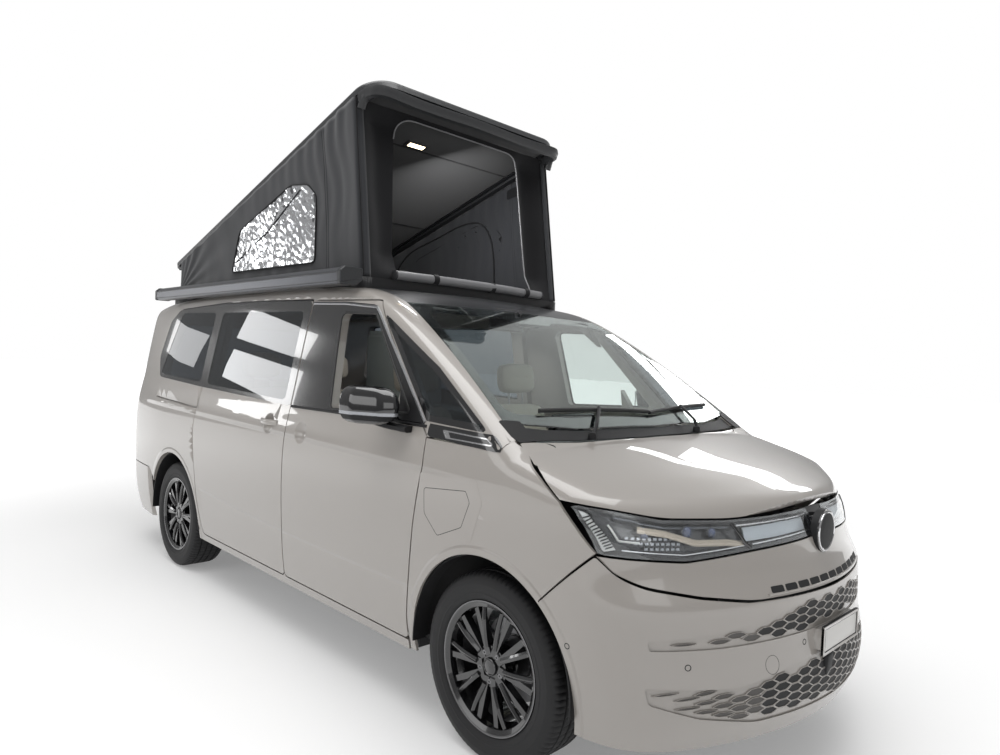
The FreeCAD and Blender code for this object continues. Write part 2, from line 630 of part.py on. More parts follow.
beam_z = 570
beam = box(740, 774, -560, 560, 520, 620)
beam_nose = box(774, nose_line(beam_z + 5) - 4.2 - seat_gap, -20, 20, beam_z - 5, beam_z + 5)
lamp_bar = box(700, 740, -480, 480, 840, 870)
lamp_nose = box(740, nose_line(795) - 4.2 - seat_gap, -15, 15, 785, 795)
lamp_posts = [box(700, 740, -30, 30, 780, 840), box(700, 740, 430, 470, 600, 840),
              box(700, 740, -470, -430, 600, 840)]
rails = [box(66, 740, 400, 470, 520, 600), box(66, 740, -470, -400, 520, 600)]
front_frame = beam.fuse([beam_nose, lamp_bar, lamp_nose] + lamp_posts + rails)
save("front_frame", one(front_frame.fuse([firewall, cowl]).removeSplitter()))
badge = badge.fuse(box(700, 832, -58 + seat_gap, 58 - seat_gap, 900, 975)).removeSplitter()
save("front_badge", badge)
engine = box(140, 600, -320, 320, 440, 950).fuse([box(200, 280, -400, 400, 540, 580),
                                                  box(440, 520, -400, 400, 540, 580)])
save("engine_block", engine.removeSplitter())

# wheel arch liners, stepped out behind the front arch so that a steered wheel clears them


def liner(place, steps):
    shell = None
    centre = Vector(place, 0, tyre_r)
    for y_out, y_in, radius in steps:
        layer = tube(centre + Vector(0, -y_out, 0), centre + Vector(0, -y_in, 0), radius, radius - 6)
        shell = layer if shell is None else shell.fuse(layer)
    return shell


front_liner = liner(0, [(940, 876, arch_r - seat_gap), (876, 484, liner_r)])
ring_wall = tube(Vector(0, -880, tyre_r), Vector(0, -874, tyre_r), liner_r, arch_r - 6 - seat_gap)
front_liner = front_liner.fuse(ring_wall).common(box(-500, 500, -1000, -400, 331, 900))
front_liner = one(front_liner.removeSplitter())
rear_liner = liner(-wheelbase, [(935, 662, arch_r - seat_gap)])
inner_wall = rod(Vector(-wheelbase, -668, tyre_r), Vector(-wheelbase, -662, tyre_r), arch_r - seat_gap)
rear_liner = rear_liner.fuse(inner_wall).common(box(-wheelbase - 600, -wheelbase + 600, -1000, -400, 331, 900))
rear_liner = one(rear_liner.removeSplitter())
liners = [front_liner, rear_liner]
save("arch_liners", *(liners + [mirrored(shape) for shape in liners]))

# running gear: front crossmember, arms, knuckles that steer, rear beam and stub axles
stub_r = 22
hub_gap = 0.3
knuckle_foot = 235
crossmember = box(-140, 60, -420, 420, 240, rail_top)
arm_plate = plan_cut([(-120, -410), (-40, -king_y, 30), (40, -king_y, 30), (50, -410)], 215, 235)
arm_plate = arm_plate.fuse(rod(Vector(0, -king_y, 215), Vector(0, -king_y, 235), 36))
arm_plate = arm_plate.fuse(box(-120, 50, -440, -400, 215, 260))
front_axle = crossmember.fuse([arm_plate, mirrored(arm_plate)]).removeSplitter()


def knuckle():
    post = rod(Vector(0, -king_y, knuckle_foot + seat_gap), Vector(0, -king_y, 520), 24)
    carrier = rod(Vector(0, -king_y, tyre_r), Vector(0, -king_y - 25, tyre_r), 55)
    stub = rod(Vector(0, -king_y, tyre_r), Vector(0, -track_y - 30, tyre_r), stub_r)
    return post.fuse([carrier, stub])


def caliper(place, hub_y):
    """a bridge over the disc, behind the axle"""
    ring = tube(Vector(place, -hub_y - 28, tyre_r), Vector(place, -hub_y + 28, tyre_r), 192, 118)
    wedge = plate(lambda p: Vector(p.x, -900, p.y), [(place, tyre_r), (place - 260, tyre_r - 110),
                  (place - 260, tyre_r + 130)], Vector(0, 500, 0))
    slot = rod(Vector(place, -hub_y - 16, tyre_r), Vector(place, -hub_y + 16, tyre_r), 172)
    return ring.common(wedge).cut(slot)


disc_y = track_y - 62
steer_knuckle = knuckle()
front_caliper = caliper(0, disc_y)
brake_foot = box(-140, -20, -disc_y + 22, -king_y + 12, tyre_r - 25, tyre_r + 25)
steer_knuckle = steer_knuckle.fuse([front_caliper, brake_foot]).removeSplitter()
save("knuckle_right", steer_knuckle)
save("knuckle_left", mirrored(steer_knuckle))
rear_beam = box(-wheelbase - 60, -wheelbase + 60, -700, 700, 250, rail_top)
for side in (-1, 1):
    upright = box(-wheelbase - 40, -wheelbase + 40, -700, -676, 250, 400)
    stub = rod(Vector(-wheelbase, -680, tyre_r), Vector(-wheelbase, -track_y - 30, tyre_r), stub_r)
    rear_caliper = caliper(-wheelbase, disc_y)
    link = box(-wheelbase - 140, -wheelbase - 20, -disc_y + 22, -disc_y + 50, tyre_r - 25, tyre_r + 25)
    reach_in = box(-wheelbase - 60, -wheelbase - 20, -disc_y + 22, -680, tyre_r - 25, tyre_r + 25)
    pieces = [upright, stub, rear_caliper, link, reach_in]
    rear_beam = rear_beam.fuse(pieces if side < 0 else [mirrored(piece) for piece in pieces])
save("axles", front_axle, rear_beam.removeSplitter())

# wheels: a turned barrel, five twin spokes, a hub that runs on the stub, and the brake disc


def turned(profile):
    face = Part.Face(Part.makePolygon([Vector(r, y, 0) for r, y in profile + profile[:1]]))
    return face.revolve(Vector(0, 0, 0), Vector(0, 1, 0), 360)


lip = rim_w / 2
barrel = turned([(rim_r, -lip), (rim_r, -lip + 6), (229, -lip + 10), (229, -66), (216, -40), (216, 70),
                 (229, 84), (229, lip - 10), (rim_r, lip - 6), (rim_r, lip), (238, lip), (222, 95),
                 (222, 86), (209, 72), (209, -42), (222, -68), (222, -97), (238, -lip)])
spoke_front = -90
spoke_back = -58
spokes = []
for i in range(5):
    for side in (-1, 1):
        leg = plate(lambda p: Vector(p.x, spoke_front, p.y), [(40, side * 2), (40, side * 30),
                    (214, side * 58), (214, side * 36)], Vector(0, spoke_back - spoke_front, 0))
        leg.rotate(Vector(0, 0, 0), Vector(0, 1, 0), 90 + 72 * i)
        spokes.append(leg)
wheel = barrel.fuse(spokes)
wheel = wheel.fuse(rod(Vector(0, spoke_front + 6, 0), Vector(0, -30, 0), 78))
disc = rod(Vector(0, track_y - disc_y - 11, 0), Vector(0, track_y - disc_y + 11, 0), 166)
hat = rod(Vector(0, -40, 0), Vector(0, track_y - disc_y + 11, 0), 84)
wheel = wheel.fuse(disc.fuse(hat))
wheel = wheel.cut(rod(Vector(0, -36, 0), Vector(0, 120, 0), stub_r + hub_gap))
wheel = one(wheel.removeSplitter())
tyre = turned([(229.4, -96), (247, -100), (254, -110), (278, -116), (300, -tyre_w / 2), (324, -114),
               (343, -104), (tyre_r - 3, -90), (tyre_r, -66), (tyre_r, 66), (tyre_r - 3, 90),
               (343, 104), (324, 114), (300, tyre_w / 2), (278, 116), (254, 110), (247, 100),
               (229.4, 96), (229.4, 70), (300, 100), (340, 80), (340, -80), (300, -100), (229.4, -70)])
for name, place in (("front", 0), ("rear", -wheelbase)):
    spot = Vector(place, -track_y, tyre_r)
    for side in ("right", "left"):
        for kind, shape in (("wheel", wheel), ("tyre", tyre)):
            moved = shape.translated(spot)
            save(kind + "_" + name + "_" + side, moved if side == "right" else mirrored(moved))

# pop-up roof: frame round the hatch, lid, rear arms and the tent between
frame_top = 1904
frame_ring = plan_cut([(-1185, -757, 60), (-1185, 757, 60), (-3750, 757, 60), (-3750, -757, 60)],
                      1800, frame_top)
frame_ring = frame_ring.cut(plan_cut([(-1290, -590, 60), (-1290, 590, 60), (-3620, 590, 60),
                                      (-3620, -590, 60)]))
roof_block = roof_sheet.copy()
roof_block.translate(Vector(0, 0, seat_gap))
roof_frame = frame_ring.cut(roof_block.extrude(Vector(0, 0, -160)))
edge_block = side_sheet.copy()
edge_block.translate(Vector(0, -seat_gap, seat_gap))
edge_block = edge_block.extrude(skin_push * 200)
roof_frame = one(roof_frame.cut(edge_block).cut(mirrored(edge_block)))
save("roof_frame", roof_frame)

lid_slope = 16.8
arm_y = 640
base_pivot = Vector(-3990, 0, 1912)
lid_pivot = Vector(-3780, 0, 2098)
lid_under = 22
lid_thick = 45
lid_long = 2695
lid_half = 731
lid = plate(lambda p: Vector(p.x, p.y, lid_under), [(-50, -lid_half, 60), (lid_long, -lid_half, 160),
            (lid_long, lid_half, 160), (-50, lid_half, 60)], Vector(0, 0, lid_thick))
top_edges = [edge for edge in lid.Edges if edge.BoundBox.ZMin > lid_under + lid_thick - 1]
lid = lid.makeFillet(18, top_edges)
hollow = plate(lambda p: Vector(p.x, p.y, lid_under - 1), [(20, -660, 60), (lid_long - 60, -660, 120),
               (lid_long - 60, 660, 120), (20, 660, 60)], Vector(0, 0, lid_thick - 15))
lid = lid.cut(hollow)
for side in (-1, 1):
    eye = rod(Vector(0, side * (arm_y + 12), 0), Vector(0, side * (arm_y + 28), 0), 14)
    web = box(-14, 14, arm_y + 12, arm_y + 28, 0, lid_under)
    lug = eye.fuse(web if side > 0 else mirrored(web))
    bolt = rod(Vector(0, side * (arm_y - 10), 0), Vector(0, side * (arm_y + 20), 0), pin_r)
    lid = lid.fuse(lug.fuse(bolt))
lid.rotate(Vector(0, 0, 0), Vector(0, 1, 0), -lid_slope)
lid.translate(lid_pivot)
save("pop_roof_lid", lid.removeSplitter())

arms = []
lugs = []
reach = lid_pivot - base_pivot
for side in (-1, 1):
    low = base_pivot + Vector(0, side * arm_y, 0)
    high = lid_pivot + Vector(0, side * arm_y, 0)
    across = Vector(0, side * 8, 0)
    bar = box(0, reach.Length, 0, 8, -12, 12)
    bar.rotate(Vector(0, 0, 0), Vector(0, 1, 0), -math.degrees(math.atan2(reach.z, reach.x)))
    bar.translate(base_pivot + Vector(0, arm_y, 0))
    bar = bar if side > 0 else mirrored(bar)
    bar = bar.fuse([rod(low, low + across, 16), rod(high, high + across, 16)])
    for end in (low, high):
        bar = bar.cut(rod(end - across, end + across * 2, pin_r + pin_gap))
    arms.append(bar)
    eye = rod(low + across * 1.3, low + across * 2.6, 14)
    foot = box(base_pivot.x - 20, base_pivot.x + 20, arm_y + 10.4, arm_y + 20.8, 1800, base_pivot.z)
    foot = foot if side > 0 else mirrored(foot)
    pin = rod(low - across * 1.2, low + across * 1.8, pin_r)
    lugs.append(eye.fuse([foot, pin]))
save("roof_arms", *arms)
roof_panel = one(roof_panel.fuse(lugs + gate_hinges).removeSplitter())
save("roof_panel", roof_panel)

tilt = math.tan(math.radians(lid_slope))
under_at = lid_pivot.z + (lid_under - seat_gap) / math.cos(math.radians(lid_slope)) - 1
tent_line = [(-1207, frame_top), (-1350, under_at + (-1350 - lid_pivot.x) * tilt),
             (-3710, under_at + (-3710 - lid_pivot.x) * tilt), (-3710, frame_top)]
tent_inner = [(-1215, frame_top - 5), (-1358, under_at - 6 + (-1358 - lid_pivot.x) * tilt),
              (-3704, under_at - 6 + (-3704 - lid_pivot.x) * tilt), (-3704, frame_top - 5)]
tent = side_cut(tent_line, -745, 745).cut(side_cut(tent_inner, -739, 739))
tent = tent.cut(end_cut([(-470, 1960, 40), (470, 1960, 40), (430, 2800, 80), (-430, 2800, 80)],
                        -1600, -1100))
save("tent_fabric", one(tent))

# awning case on the right roof edge, with its end caps and brackets
awning_line = [(-905, 1848, 15), (-905, 1912, 20), (-880, 1934, 20), (-778, 1934, 5),
               (-778, 1880, 5), (-812, 1850, 5)]
awning = end_cut(awning_line, -3710, -1170)
caps = [end_cut(awning_line, -3730, -3710), end_cut(awning_line, -1170, -1150)]
brackets = []
for place in (-3400, -2440, -1500):
    seat_z = skin((place, 0, waist_z), Vector(0, -762, body_top_z(place, 762) - waist_z).normalize())
    brackets.append(box(place - 40, place + 40, -778, -760, seat_z.z + 0.5, 1925))
save("awning", awning, *(caps + brackets))

# mirrors, carried on the front doors
mirror_foot = side_sheet.copy()
mirror_foot.translate(Vector(0, -seat_gap, 0))
mirror_foot = mirror_foot.extrude(Vector(0, -34, 0)).common(side_cut([(hinge_u, 1186), (hinge_u, 1214),
                                                                      (-700, 1214), (-700, 1190)]))
mirror = plan_cut([(-545, -985, 30), (-575, -1050, 60), (-690, -1118, 60), (-770, -1126, 20),
                   (-790, -1100, 10), (-690, -968, 20)], 1212, 1374)
mirror = mirror.makeFillet(18, [edge for edge in mirror.Edges if edge.BoundBox.ZMin > 1370
                                or edge.BoundBox.ZMax < 1214])
mirror = one(mirror.fuse([mirror_foot, box(-680, -600, -1000, -950, 1196, 1230)]))
save("mirror_right", mirror)
save("mirror_left", mirrored(mirror))

# cabin: dashboard, steering wheel, seats, bench and kitchen
dash_half = side_wall_y - seat_gap
dash_line = [(59, 1129), (-71, 1129), (-73, 1156), (-330, 1130, 60), (-400, 1050, 40), (-370, 940, 40),
             (-300, 880, 40), (-260, 812), (59, 812)]
dashboard = plate(lambda p: Vector(p.x, -dash_half, p.y), dash_line, Vector(0, 2 * dash_half, 0))
wheel_at = Vector(-480, 385, 1030)
column_way = Vector(-math.cos(math.radians(24)), 0, math.sin(math.radians(24)))
shaft_r = 12
column = rod(wheel_at - column_way * 220, wheel_at + column_way * 14, shaft_r)
column = column.fuse(rod(wheel_at - column_way * 230, wheel_at - column_way * 45, 42))
dashboard = dashboard.fuse(column).removeSplitter()
save("dashboard", dashboard)
wheel_ring = Part.makeTorus(180, 14, Vector(0, 0, 0), Vector(0, 0, 1))
hub = rod(Vector(0, 0, -20), Vector(0, 0, 20), 55)
arms_in = [box(-175, 175, -15, 15, -8, 8), box(-18, 18, -175, 0, -8, 8)]
steering_wheel = wheel_ring.fuse([hub] + arms_in)
steering_wheel = steering_wheel.cut(rod(Vector(0, 0, -30), Vector(0, 0, 15), shaft_r + pin_gap))
steering_wheel.rotate(Vector(0, 0, 0), Vector(0, 0, 1), 90)
steering_wheel.rotate(Vector(0, 0, 0), Vector(0, 1, 0), -66)
steering_wheel.translate(wheel_at)
save("steering_wheel", steering_wheel.removeSplitter())


def seat(u, y, wide):
    """plinth, cushion, leaning back and headrest, in one plain body"""
    base = box(u - 420, u - 40, y - wide / 2 + 60, y + wide / 2 - 60, floor_top, 640)
    cushion = plate(lambda p: Vector(p.x, y - wide / 2, p.y), [(u - 500, 640), (u - 500, 780),
                    (u, 800, 50), (u, 640, 50)], Vector(0, wide, 0))
    back = plate(lambda p: Vector(p.x, y - wide / 2, p.y), [(u - 480, 700, 20), (u - 370, 700, 20),
                 (u - 480, 1370, 40), (u - 580, 1370, 40)], Vector(0, wide, 0))
    rest = plate(lambda p: Vector(p.x, y - 130, p.y), [(u - 570, 1360, 10), (u - 490, 1360, 10),
                 (u - 520, 1560, 30), (u - 600, 1560, 30)], Vector(0, 260, 0))
    return base.fuse([cushion, back, rest]).removeSplitter()


save("seats", seat(-640, 385, 500), seat(-640, -385, 500), seat(-2380, -150, 1000))
kitchen = box(-2900, -1480, 450, 830, floor_top, 1120).fuse(box(-2910, -1470, 440, 840, 1120, 1150))
kitchen = kitchen.fuse(box(-2900, -2350, 450, 760, 1150, 1700))
kitchen = kitchen.cut(rod(Vector(-wheelbase, 600, tyre_r), Vector(-wheelbase, 1000, tyre_r), arch_r + 4))
wall_block = side_sheet.copy()
wall_block.translate(Vector(0, door_thick + panel_gap + frame_thick + seat_gap, 0))
wall_block = wall_block.extrude(Vector(0, -400, 0))
kitchen = one(kitchen.cut(mirrored(wall_block)).removeSplitter())
save("kitchen_unit", kitchen)
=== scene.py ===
import bpy
import bmesh
import json
import math
import numpy as np
from mathutils import Matrix, Vector
from mathutils.geometry import delaunay_2d_cdt

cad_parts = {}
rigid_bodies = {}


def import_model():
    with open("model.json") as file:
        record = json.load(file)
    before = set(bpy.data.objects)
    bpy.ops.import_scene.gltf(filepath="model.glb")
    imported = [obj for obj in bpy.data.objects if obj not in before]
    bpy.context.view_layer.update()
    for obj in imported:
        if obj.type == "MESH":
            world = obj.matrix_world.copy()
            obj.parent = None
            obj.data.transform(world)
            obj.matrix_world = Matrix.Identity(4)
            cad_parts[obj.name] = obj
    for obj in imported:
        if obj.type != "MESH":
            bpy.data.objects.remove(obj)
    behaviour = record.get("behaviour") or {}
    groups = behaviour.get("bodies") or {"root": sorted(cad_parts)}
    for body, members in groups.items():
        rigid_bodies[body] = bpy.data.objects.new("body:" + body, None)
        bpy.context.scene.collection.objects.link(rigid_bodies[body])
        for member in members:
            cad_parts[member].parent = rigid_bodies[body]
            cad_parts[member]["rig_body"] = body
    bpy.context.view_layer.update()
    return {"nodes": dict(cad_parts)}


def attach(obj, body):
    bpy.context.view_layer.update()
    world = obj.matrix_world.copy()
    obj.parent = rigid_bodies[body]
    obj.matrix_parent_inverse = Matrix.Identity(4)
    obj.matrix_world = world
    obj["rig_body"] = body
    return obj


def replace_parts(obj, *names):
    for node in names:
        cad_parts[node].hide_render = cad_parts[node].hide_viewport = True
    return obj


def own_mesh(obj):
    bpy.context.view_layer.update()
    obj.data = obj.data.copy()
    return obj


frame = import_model()
scene = bpy.context.scene
nodes = frame["nodes"]

# Places are given as the part's maker gives them: millimetres ahead of the front axle, to the left and up.
axle_ahead = 1656.5
mm = 0.001
wheel_base = 3124
wheel_middle = 810.0
tyre_radius = 355.0
tent_foot = 1906
tent_half = 743
lid_degrees = 16.8
hands = ((-1, "right"), (1, "left"))
photo_focal = 705.04 / 1000
white_beyond = 9.0


def place(u, y, z):
    return Vector(((u + axle_ahead) * mm, y * mm, z * mm))


def from_metres(points):
    """points of the scene as (u, y, z)"""
    return np.asarray(points, float) / mm - np.array([axle_ahead, 0, 0])


# The body skin, for panels and whatever sits on them


class Line:
    """smooth curve through (place, value) pairs, straight beyond its ends"""

    def __init__(self, *pairs):
        pairs = sorted(pairs)
        self.at = np.array([pair[0] for pair in pairs], float)
        self.value = np.array([pair[1] for pair in pairs], float)
        count = len(pairs)
        gap = np.diff(self.at)
        system = np.eye(count)
        right = np.zeros(count)
        for i in range(1, count - 1):
            system[i, i - 1:i + 2] = gap[i - 1], 2 * (gap[i - 1] + gap[i]), gap[i]
            right[i] = 6 * ((self.value[i + 1] - self.value[i]) / gap[i]
                            - (self.value[i] - self.value[i - 1]) / gap[i - 1])
        self.bend = np.linalg.solve(system, right)
        self.gap = gap
        self.first = (self.value[1] - self.value[0]) / gap[0] - gap[0] * self.bend[1] / 6
        self.last = (self.value[-1] - self.value[-2]) / gap[-1] + gap[-1] * self.bend[-2] / 6

    def __call__(self, x):
        x = np.asarray(x, float)
        i = np.clip(np.searchsorted(self.at, x, side="right") - 1, 0, len(self.at) - 2)
        a = (self.at[i + 1] - x) / self.gap[i]
        b = (x - self.at[i]) / self.gap[i]
        inner = a * self.value[i] + b * self.value[i + 1] + (
            (a ** 3 - a) * self.bend[i] + (b ** 3 - b) * self.bend[i + 1]) * self.gap[i] ** 2 / 6
        low = self.value[0] + self.first * (x - self.at[0])
        high = self.value[-1] + self.last * (x - self.at[-1])
        return np.where(x < self.at[0], low, np.where(x > self.at[-1], high, inner))


half_width = Line((200, 900), (330, 928), (550, 953), (770, 965), (950, 966), (1090, 955), (1200, 932), (1500, 873),
        (1775, 816), (1900, 790))
nose_line = Line((230, 870), (300, 905), (400, 930), (560, 908), (700, 903), (750, 893), (800, 868), (850, 852),
        (920, 846), (1000, 840), (1060, 826))
bonnet_line = Line((860, 1008), (830, 1035), (760, 1062), (600, 1108), (400, 1152), (200, 1190), (60, 1212),
        (-100, 1235))
screen_line = Line((250, 1112), (110, 1212), (-200, 1420), (-500, 1600), (-800, 1755), (-950, 1817), (-1100, 1870))
roof_line = Line((-700, 1790), (-900, 1826), (-1100, 1858), (-1500, 1888), (-2500, 1900), (-3500, 1876),
        (-4000, 1830), (-4200, 1800))
tail_line = Line((230, -4150), (330, -4205), (500, -4243), (650, -4232), (800, -4222), (1200, -4208), (1500, -4184),
        (1750, -4158), (1900, -4138))


def join_max(a, b, blend):
    """the greater of two values, rounded where they meet"""
    near = np.maximum(blend - np.abs(a - b), 0) / blend
    return np.maximum(a, b) + near ** 3 * blend / 6


def outside(u, y, z):
    """above zero outside the body, below zero inside it, in millimetres"""
    u, y, z = (np.asarray(v, float) for v in (u, y, z))
    y = np.abs(y)
    width = half_width(z) - 8.0e-5 * np.minimum(u + 3300, 0) ** 2 - 3.0e-5 * np.maximum(u + 200, 0) ** 2
    cab = -join_max(-screen_line(u + 8.0e-5 * y * y), 4.0e-5 * y * y - roof_line(u), 60.0)
    bow = 0.5e-4 + 3.6e-4 * np.clip(u / 830, 0, 1)
    hood = join_max(bonnet_line(u + bow * y * y) - 3.0e-5 * y * y, cab, 12.0)
    level = join_max(y - width, z - np.where(u < -300, cab, hood), 110.0)
    front = join_max(level, u - nose_line(z) + 3.65e-4 * y * y, np.maximum(60.0, 260.0 - 2 * np.maximum(0, z - 1000)))
    back = join_max(level, tail_line(z) + 1.0e-4 * y * y - u, 230.0 - 0.32 * np.clip(z - 1300, 0, 400))
    return np.where(u > -200, front, np.where(u < -3000, back, level))


def skin_normals(points):
    """outward normals of the skin at an array of points (u, y, z)"""
    step = 0.5
    out = np.empty_like(points)
    for axis in range(3):
        move = np.zeros(3)
        move[axis] = step
        ahead, behind = (points + move).T, (points - move).T
        out[:, axis] = outside(*ahead) - outside(*behind)
    return out / np.maximum(np.linalg.norm(out, axis=1, keepdims=True), 1e-9)


def skin_at(starts, ways):
    """where lines from points inside the body leave its skin"""
    starts, ways = np.asarray(starts, float), np.asarray(ways, float)
    near, far = np.zeros(len(starts)), np.full(len(starts), 1700.0)
    for _ in range(40):
        middle = (near + far) / 2
        out = outside(*(starts + ways * middle[:, None]).T) > 0
        near, far = np.where(out, near, middle), np.where(out, middle, far)
    return starts + ways * near[:, None]


# Making pieces


def kept(piece, finish, body="body"):
    """a finished piece with its finish and its body"""
    piece.data.materials.clear()
    piece.data.materials.append(finishes[finish])
    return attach(piece, body)


def grid_faces(rows, wide, round_rows=False, round_columns=True):
    """the quads between the rows of a grid of points"""
    return [(r * wide + k, r * wide + (k + 1) % wide, (r + 1) % rows * wide + (k + 1) % wide,
             (r + 1) % rows * wide + k) for r in range(rows if round_rows else rows - 1)
            for k in range(wide if round_columns else wide - 1)]


def circle(count):
    """points round a circle of radius 1"""
    turn = np.linspace(0, 2 * math.pi, count, endpoint=False)
    return np.stack([np.cos(turn), np.sin(turn)], axis=1)


def panel(name, node, finish, reach=4.0, angle=32):
    """a CAD panel with its skin shaded from the true surface, so that reflections run clean over it"""
    source = nodes[node]
    mesh = source.data.copy()
    mesh.name = name
    work = bmesh.new()
    work.from_mesh(mesh)
    bmesh.ops.remove_doubles(work, verts=work.verts, dist=2e-5)
    work.to_mesh(mesh)
    work.free()
    mesh.shade_smooth()
    mesh.set_sharp_from_angle(angle=math.radians(angle))
    count = len(mesh.loops)
    corner = np.empty(count * 3, np.float32)
    mesh.corner_normals.foreach_get("vector", corner)
    corner = corner.reshape(-1, 3)
    spots = np.empty(len(mesh.vertices) * 3, np.float32)
    mesh.vertices.foreach_get("co", spots)
    spots = from_metres(spots.reshape(-1, 3))
    owner = np.empty(count, np.int32)
    mesh.loops.foreach_get("vertex_index", owner)
    face_of = np.repeat(np.arange(len(mesh.polygons)), 3)
    flat = np.empty(len(mesh.polygons) * 3, np.float32)
    mesh.polygon_normals.foreach_get("vector", flat)
    flat = flat.reshape(-1, 3)[face_of]
    level = outside(*spots.T)
    true = skin_normals(spots)[owner]
    facing = np.einsum("ij,ij->i", flat, true)
    level = level[owner].reshape(-1, 3)
    near = np.abs(level) < reach
    trio = spots[owner].reshape(-1, 3, 3)
    sides = np.linalg.norm(trio - np.roll(trio, 1, axis=1), axis=2)
    area = np.linalg.norm(np.cross(trio[:, 1] - trio[:, 0], trio[:, 2] - trio[:, 0]), axis=1)
    sliver = np.repeat(near.all(axis=1) & (area < 4.0 * sides.max(axis=1)) & (np.ptp(level, axis=1) < 0.9), 3)
    on_skin = near.reshape(-1) & ((np.abs(facing) > 0.93) | sliver)
    corner[on_skin] = true[on_skin] * np.where(facing[on_skin] < -0.93, -1.0, 1.0)[:, None]
    mesh.normals_split_custom_set(corner.tolist())
    piece = bpy.data.objects.new(name, mesh)
    scene.collection.objects.link(piece)
    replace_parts(piece, node)
    return kept(piece, finish, body=source["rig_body"])


# Camera, light and floor

yaw, pitch, roll = (math.radians(angle) for angle in (135.595, -1.287, 2.533))
ahead = Vector((math.cos(yaw) * math.cos(pitch), math.sin(yaw) * math.cos(pitch), math.sin(pitch)))
right = Vector((math.sin(yaw), -math.cos(yaw), 0))
up = right.cross(ahead)
right, up = (math.cos(roll) * right + math.sin(roll) * up, math.cos(roll) * up - math.sin(roll) * right)
turn = Matrix((right, up, -ahead)).transposed().to_4x4()
view = bpy.data.cameras.new("photo_view")
view.sensor_width = 36
view.sensor_fit = "HORIZONTAL"
view.lens = photo_focal * view.sensor_width
view.clip_end = 200
camera = bpy.data.objects.new("photo_view", view)
camera.matrix_world = Matrix.Translation(place(1866, -2742, 1501)) @ turn
scene.collection.objects.link(camera)
scene.camera = camera


def softbox(name, where, toward, wide, tall, power):
    """a flat lamp in metres and watts"""
    lamp = bpy.data.lights.new(name, "AREA")
    lamp.shape = "RECTANGLE"
    lamp.size, lamp.size_y = wide, tall
    lamp.energy = power
    holder = bpy.data.objects.new(name, lamp)
    holder.location = where
    holder.rotation_euler = (Vector(toward) - Vector(where)).to_track_quat("-Z", "Y").to_euler()
    scene.collection.objects.link(holder)


for row in (
        ("roof_light", (1.0, -1.0, 6.5), (0, 0, 1), 7.0, 4.0, 300),
        ("front_light", (7.5, -2.5, 3.2), (1.5, 0, 1.0), 3.0, 2.4, 30),
        ("side_light", (-1.5, -7.5, 3.4), (-0.5, 0, 1.0), 6.0, 2.0, 72),
        ("window_card", (-5.9, -3.5, 2.2), (-0.5, -0.85, 1.4), 1.0, 0.42, 7),
        ("window_card_high", (-5.9, -3.45, 2.85), (-0.5, -0.85, 1.5), 1.0, 0.5, 8),
        ("rear_window_card", (-5.9, -2.2, 2.15), (-1.4, -0.85, 1.4), 0.7, 0.5, 2.5),
        ("screen_card", (0.35, 4.6, 3.4), (1.5, 0.5, 1.4), 2.6, 0.16, 9),
        ("screen_card_wide", (1.1, 4.4, 2.9), (1.5, 0.6, 1.3), 2.6, 0.5, 24),
        ("tent_lamp", (0.2, -0.1, 2.6), (0.0, 0.5, 1.9), 0.2, 0.2, 14)):
    softbox(*row)

scene.view_settings.view_transform = "Standard"
world = bpy.data.worlds.new("studio")
scene.world = world
world.use_nodes = True


def join(tree, *pairs):
    """links from outputs to inputs"""
    for a, b in pairs:
        tree.links.new(a, b)


def studio(tree):
    """white where the camera looks, a pale room for everything that is lit or mirrored"""
    tree.nodes.clear()
    out, mix, plain, room, rays, spot, parts, tone, seen = (tree.nodes.new("ShaderNode" + kind)
            for kind in ("OutputWorld", "MixShader", "Background", "Background", "LightPath", "TexCoord",
            "SeparateXYZ", "ValToRGB", "Math"))
    plain.inputs["Color"].default_value = (1, 1, 1, 1)
    plain.inputs["Strength"].default_value = 1.0
    room.inputs["Strength"].default_value = 0.55
    for element, (position, grey) in zip(tone.color_ramp.elements, ((0.0, 0.5), (1.0, 1.0))):
        element.position = position
        element.color = (grey, grey, grey, 1)
    seen.operation = "MAXIMUM"
    join(tree, (spot.outputs["Generated"], parts.inputs[0]), (parts.outputs["Z"], tone.inputs[0]),
         (tone.outputs[0], room.inputs["Color"]), (rays.outputs["Is Camera Ray"], seen.inputs[0]),
         (rays.outputs["Is Transmission Ray"], seen.inputs[1]), (seen.outputs[0], mix.inputs[0]),
         (room.outputs[0], mix.inputs[1]), (plain.outputs[0], mix.inputs[2]), (mix.outputs[0], out.inputs["Surface"]))


studio(world.node_tree)

# Finishes


def new_material(name, **values):
    """a new material, its tree and its shader, with values for the shader's inputs"""
    material = bpy.data.materials.new(name)
    material.use_nodes = True
    shader = material.node_tree.nodes["Principled BSDF"]
    for key, value in values.items():
        shader.inputs[key.replace("_", " ")].default_value = value
    return material, material.node_tree, shader


def group_node(tree, group, **values):
    """a group in a tree, with values for its inputs"""
    node = tree.nodes.new("ShaderNodeGroup")
    node.node_tree = group
    for key, value in values.items():
        node.inputs[key.replace("_", " ")].default_value = value
    return node


def start_group(name, inputs, outputs):
    """a new node group with its sockets"""
    group = bpy.data.node_groups.new(name, "ShaderNodeTree")
    for label, kind, value in inputs:
        socket = group.interface.new_socket(label, in_out="INPUT", socket_type=kind)
        socket.default_value = value
    for label, kind in outputs:
        group.interface.new_socket(label, in_out="OUTPUT", socket_type=kind)
    return group, group.nodes.new("NodeGroupInput"), group.nodes.new("NodeGroupOutput")


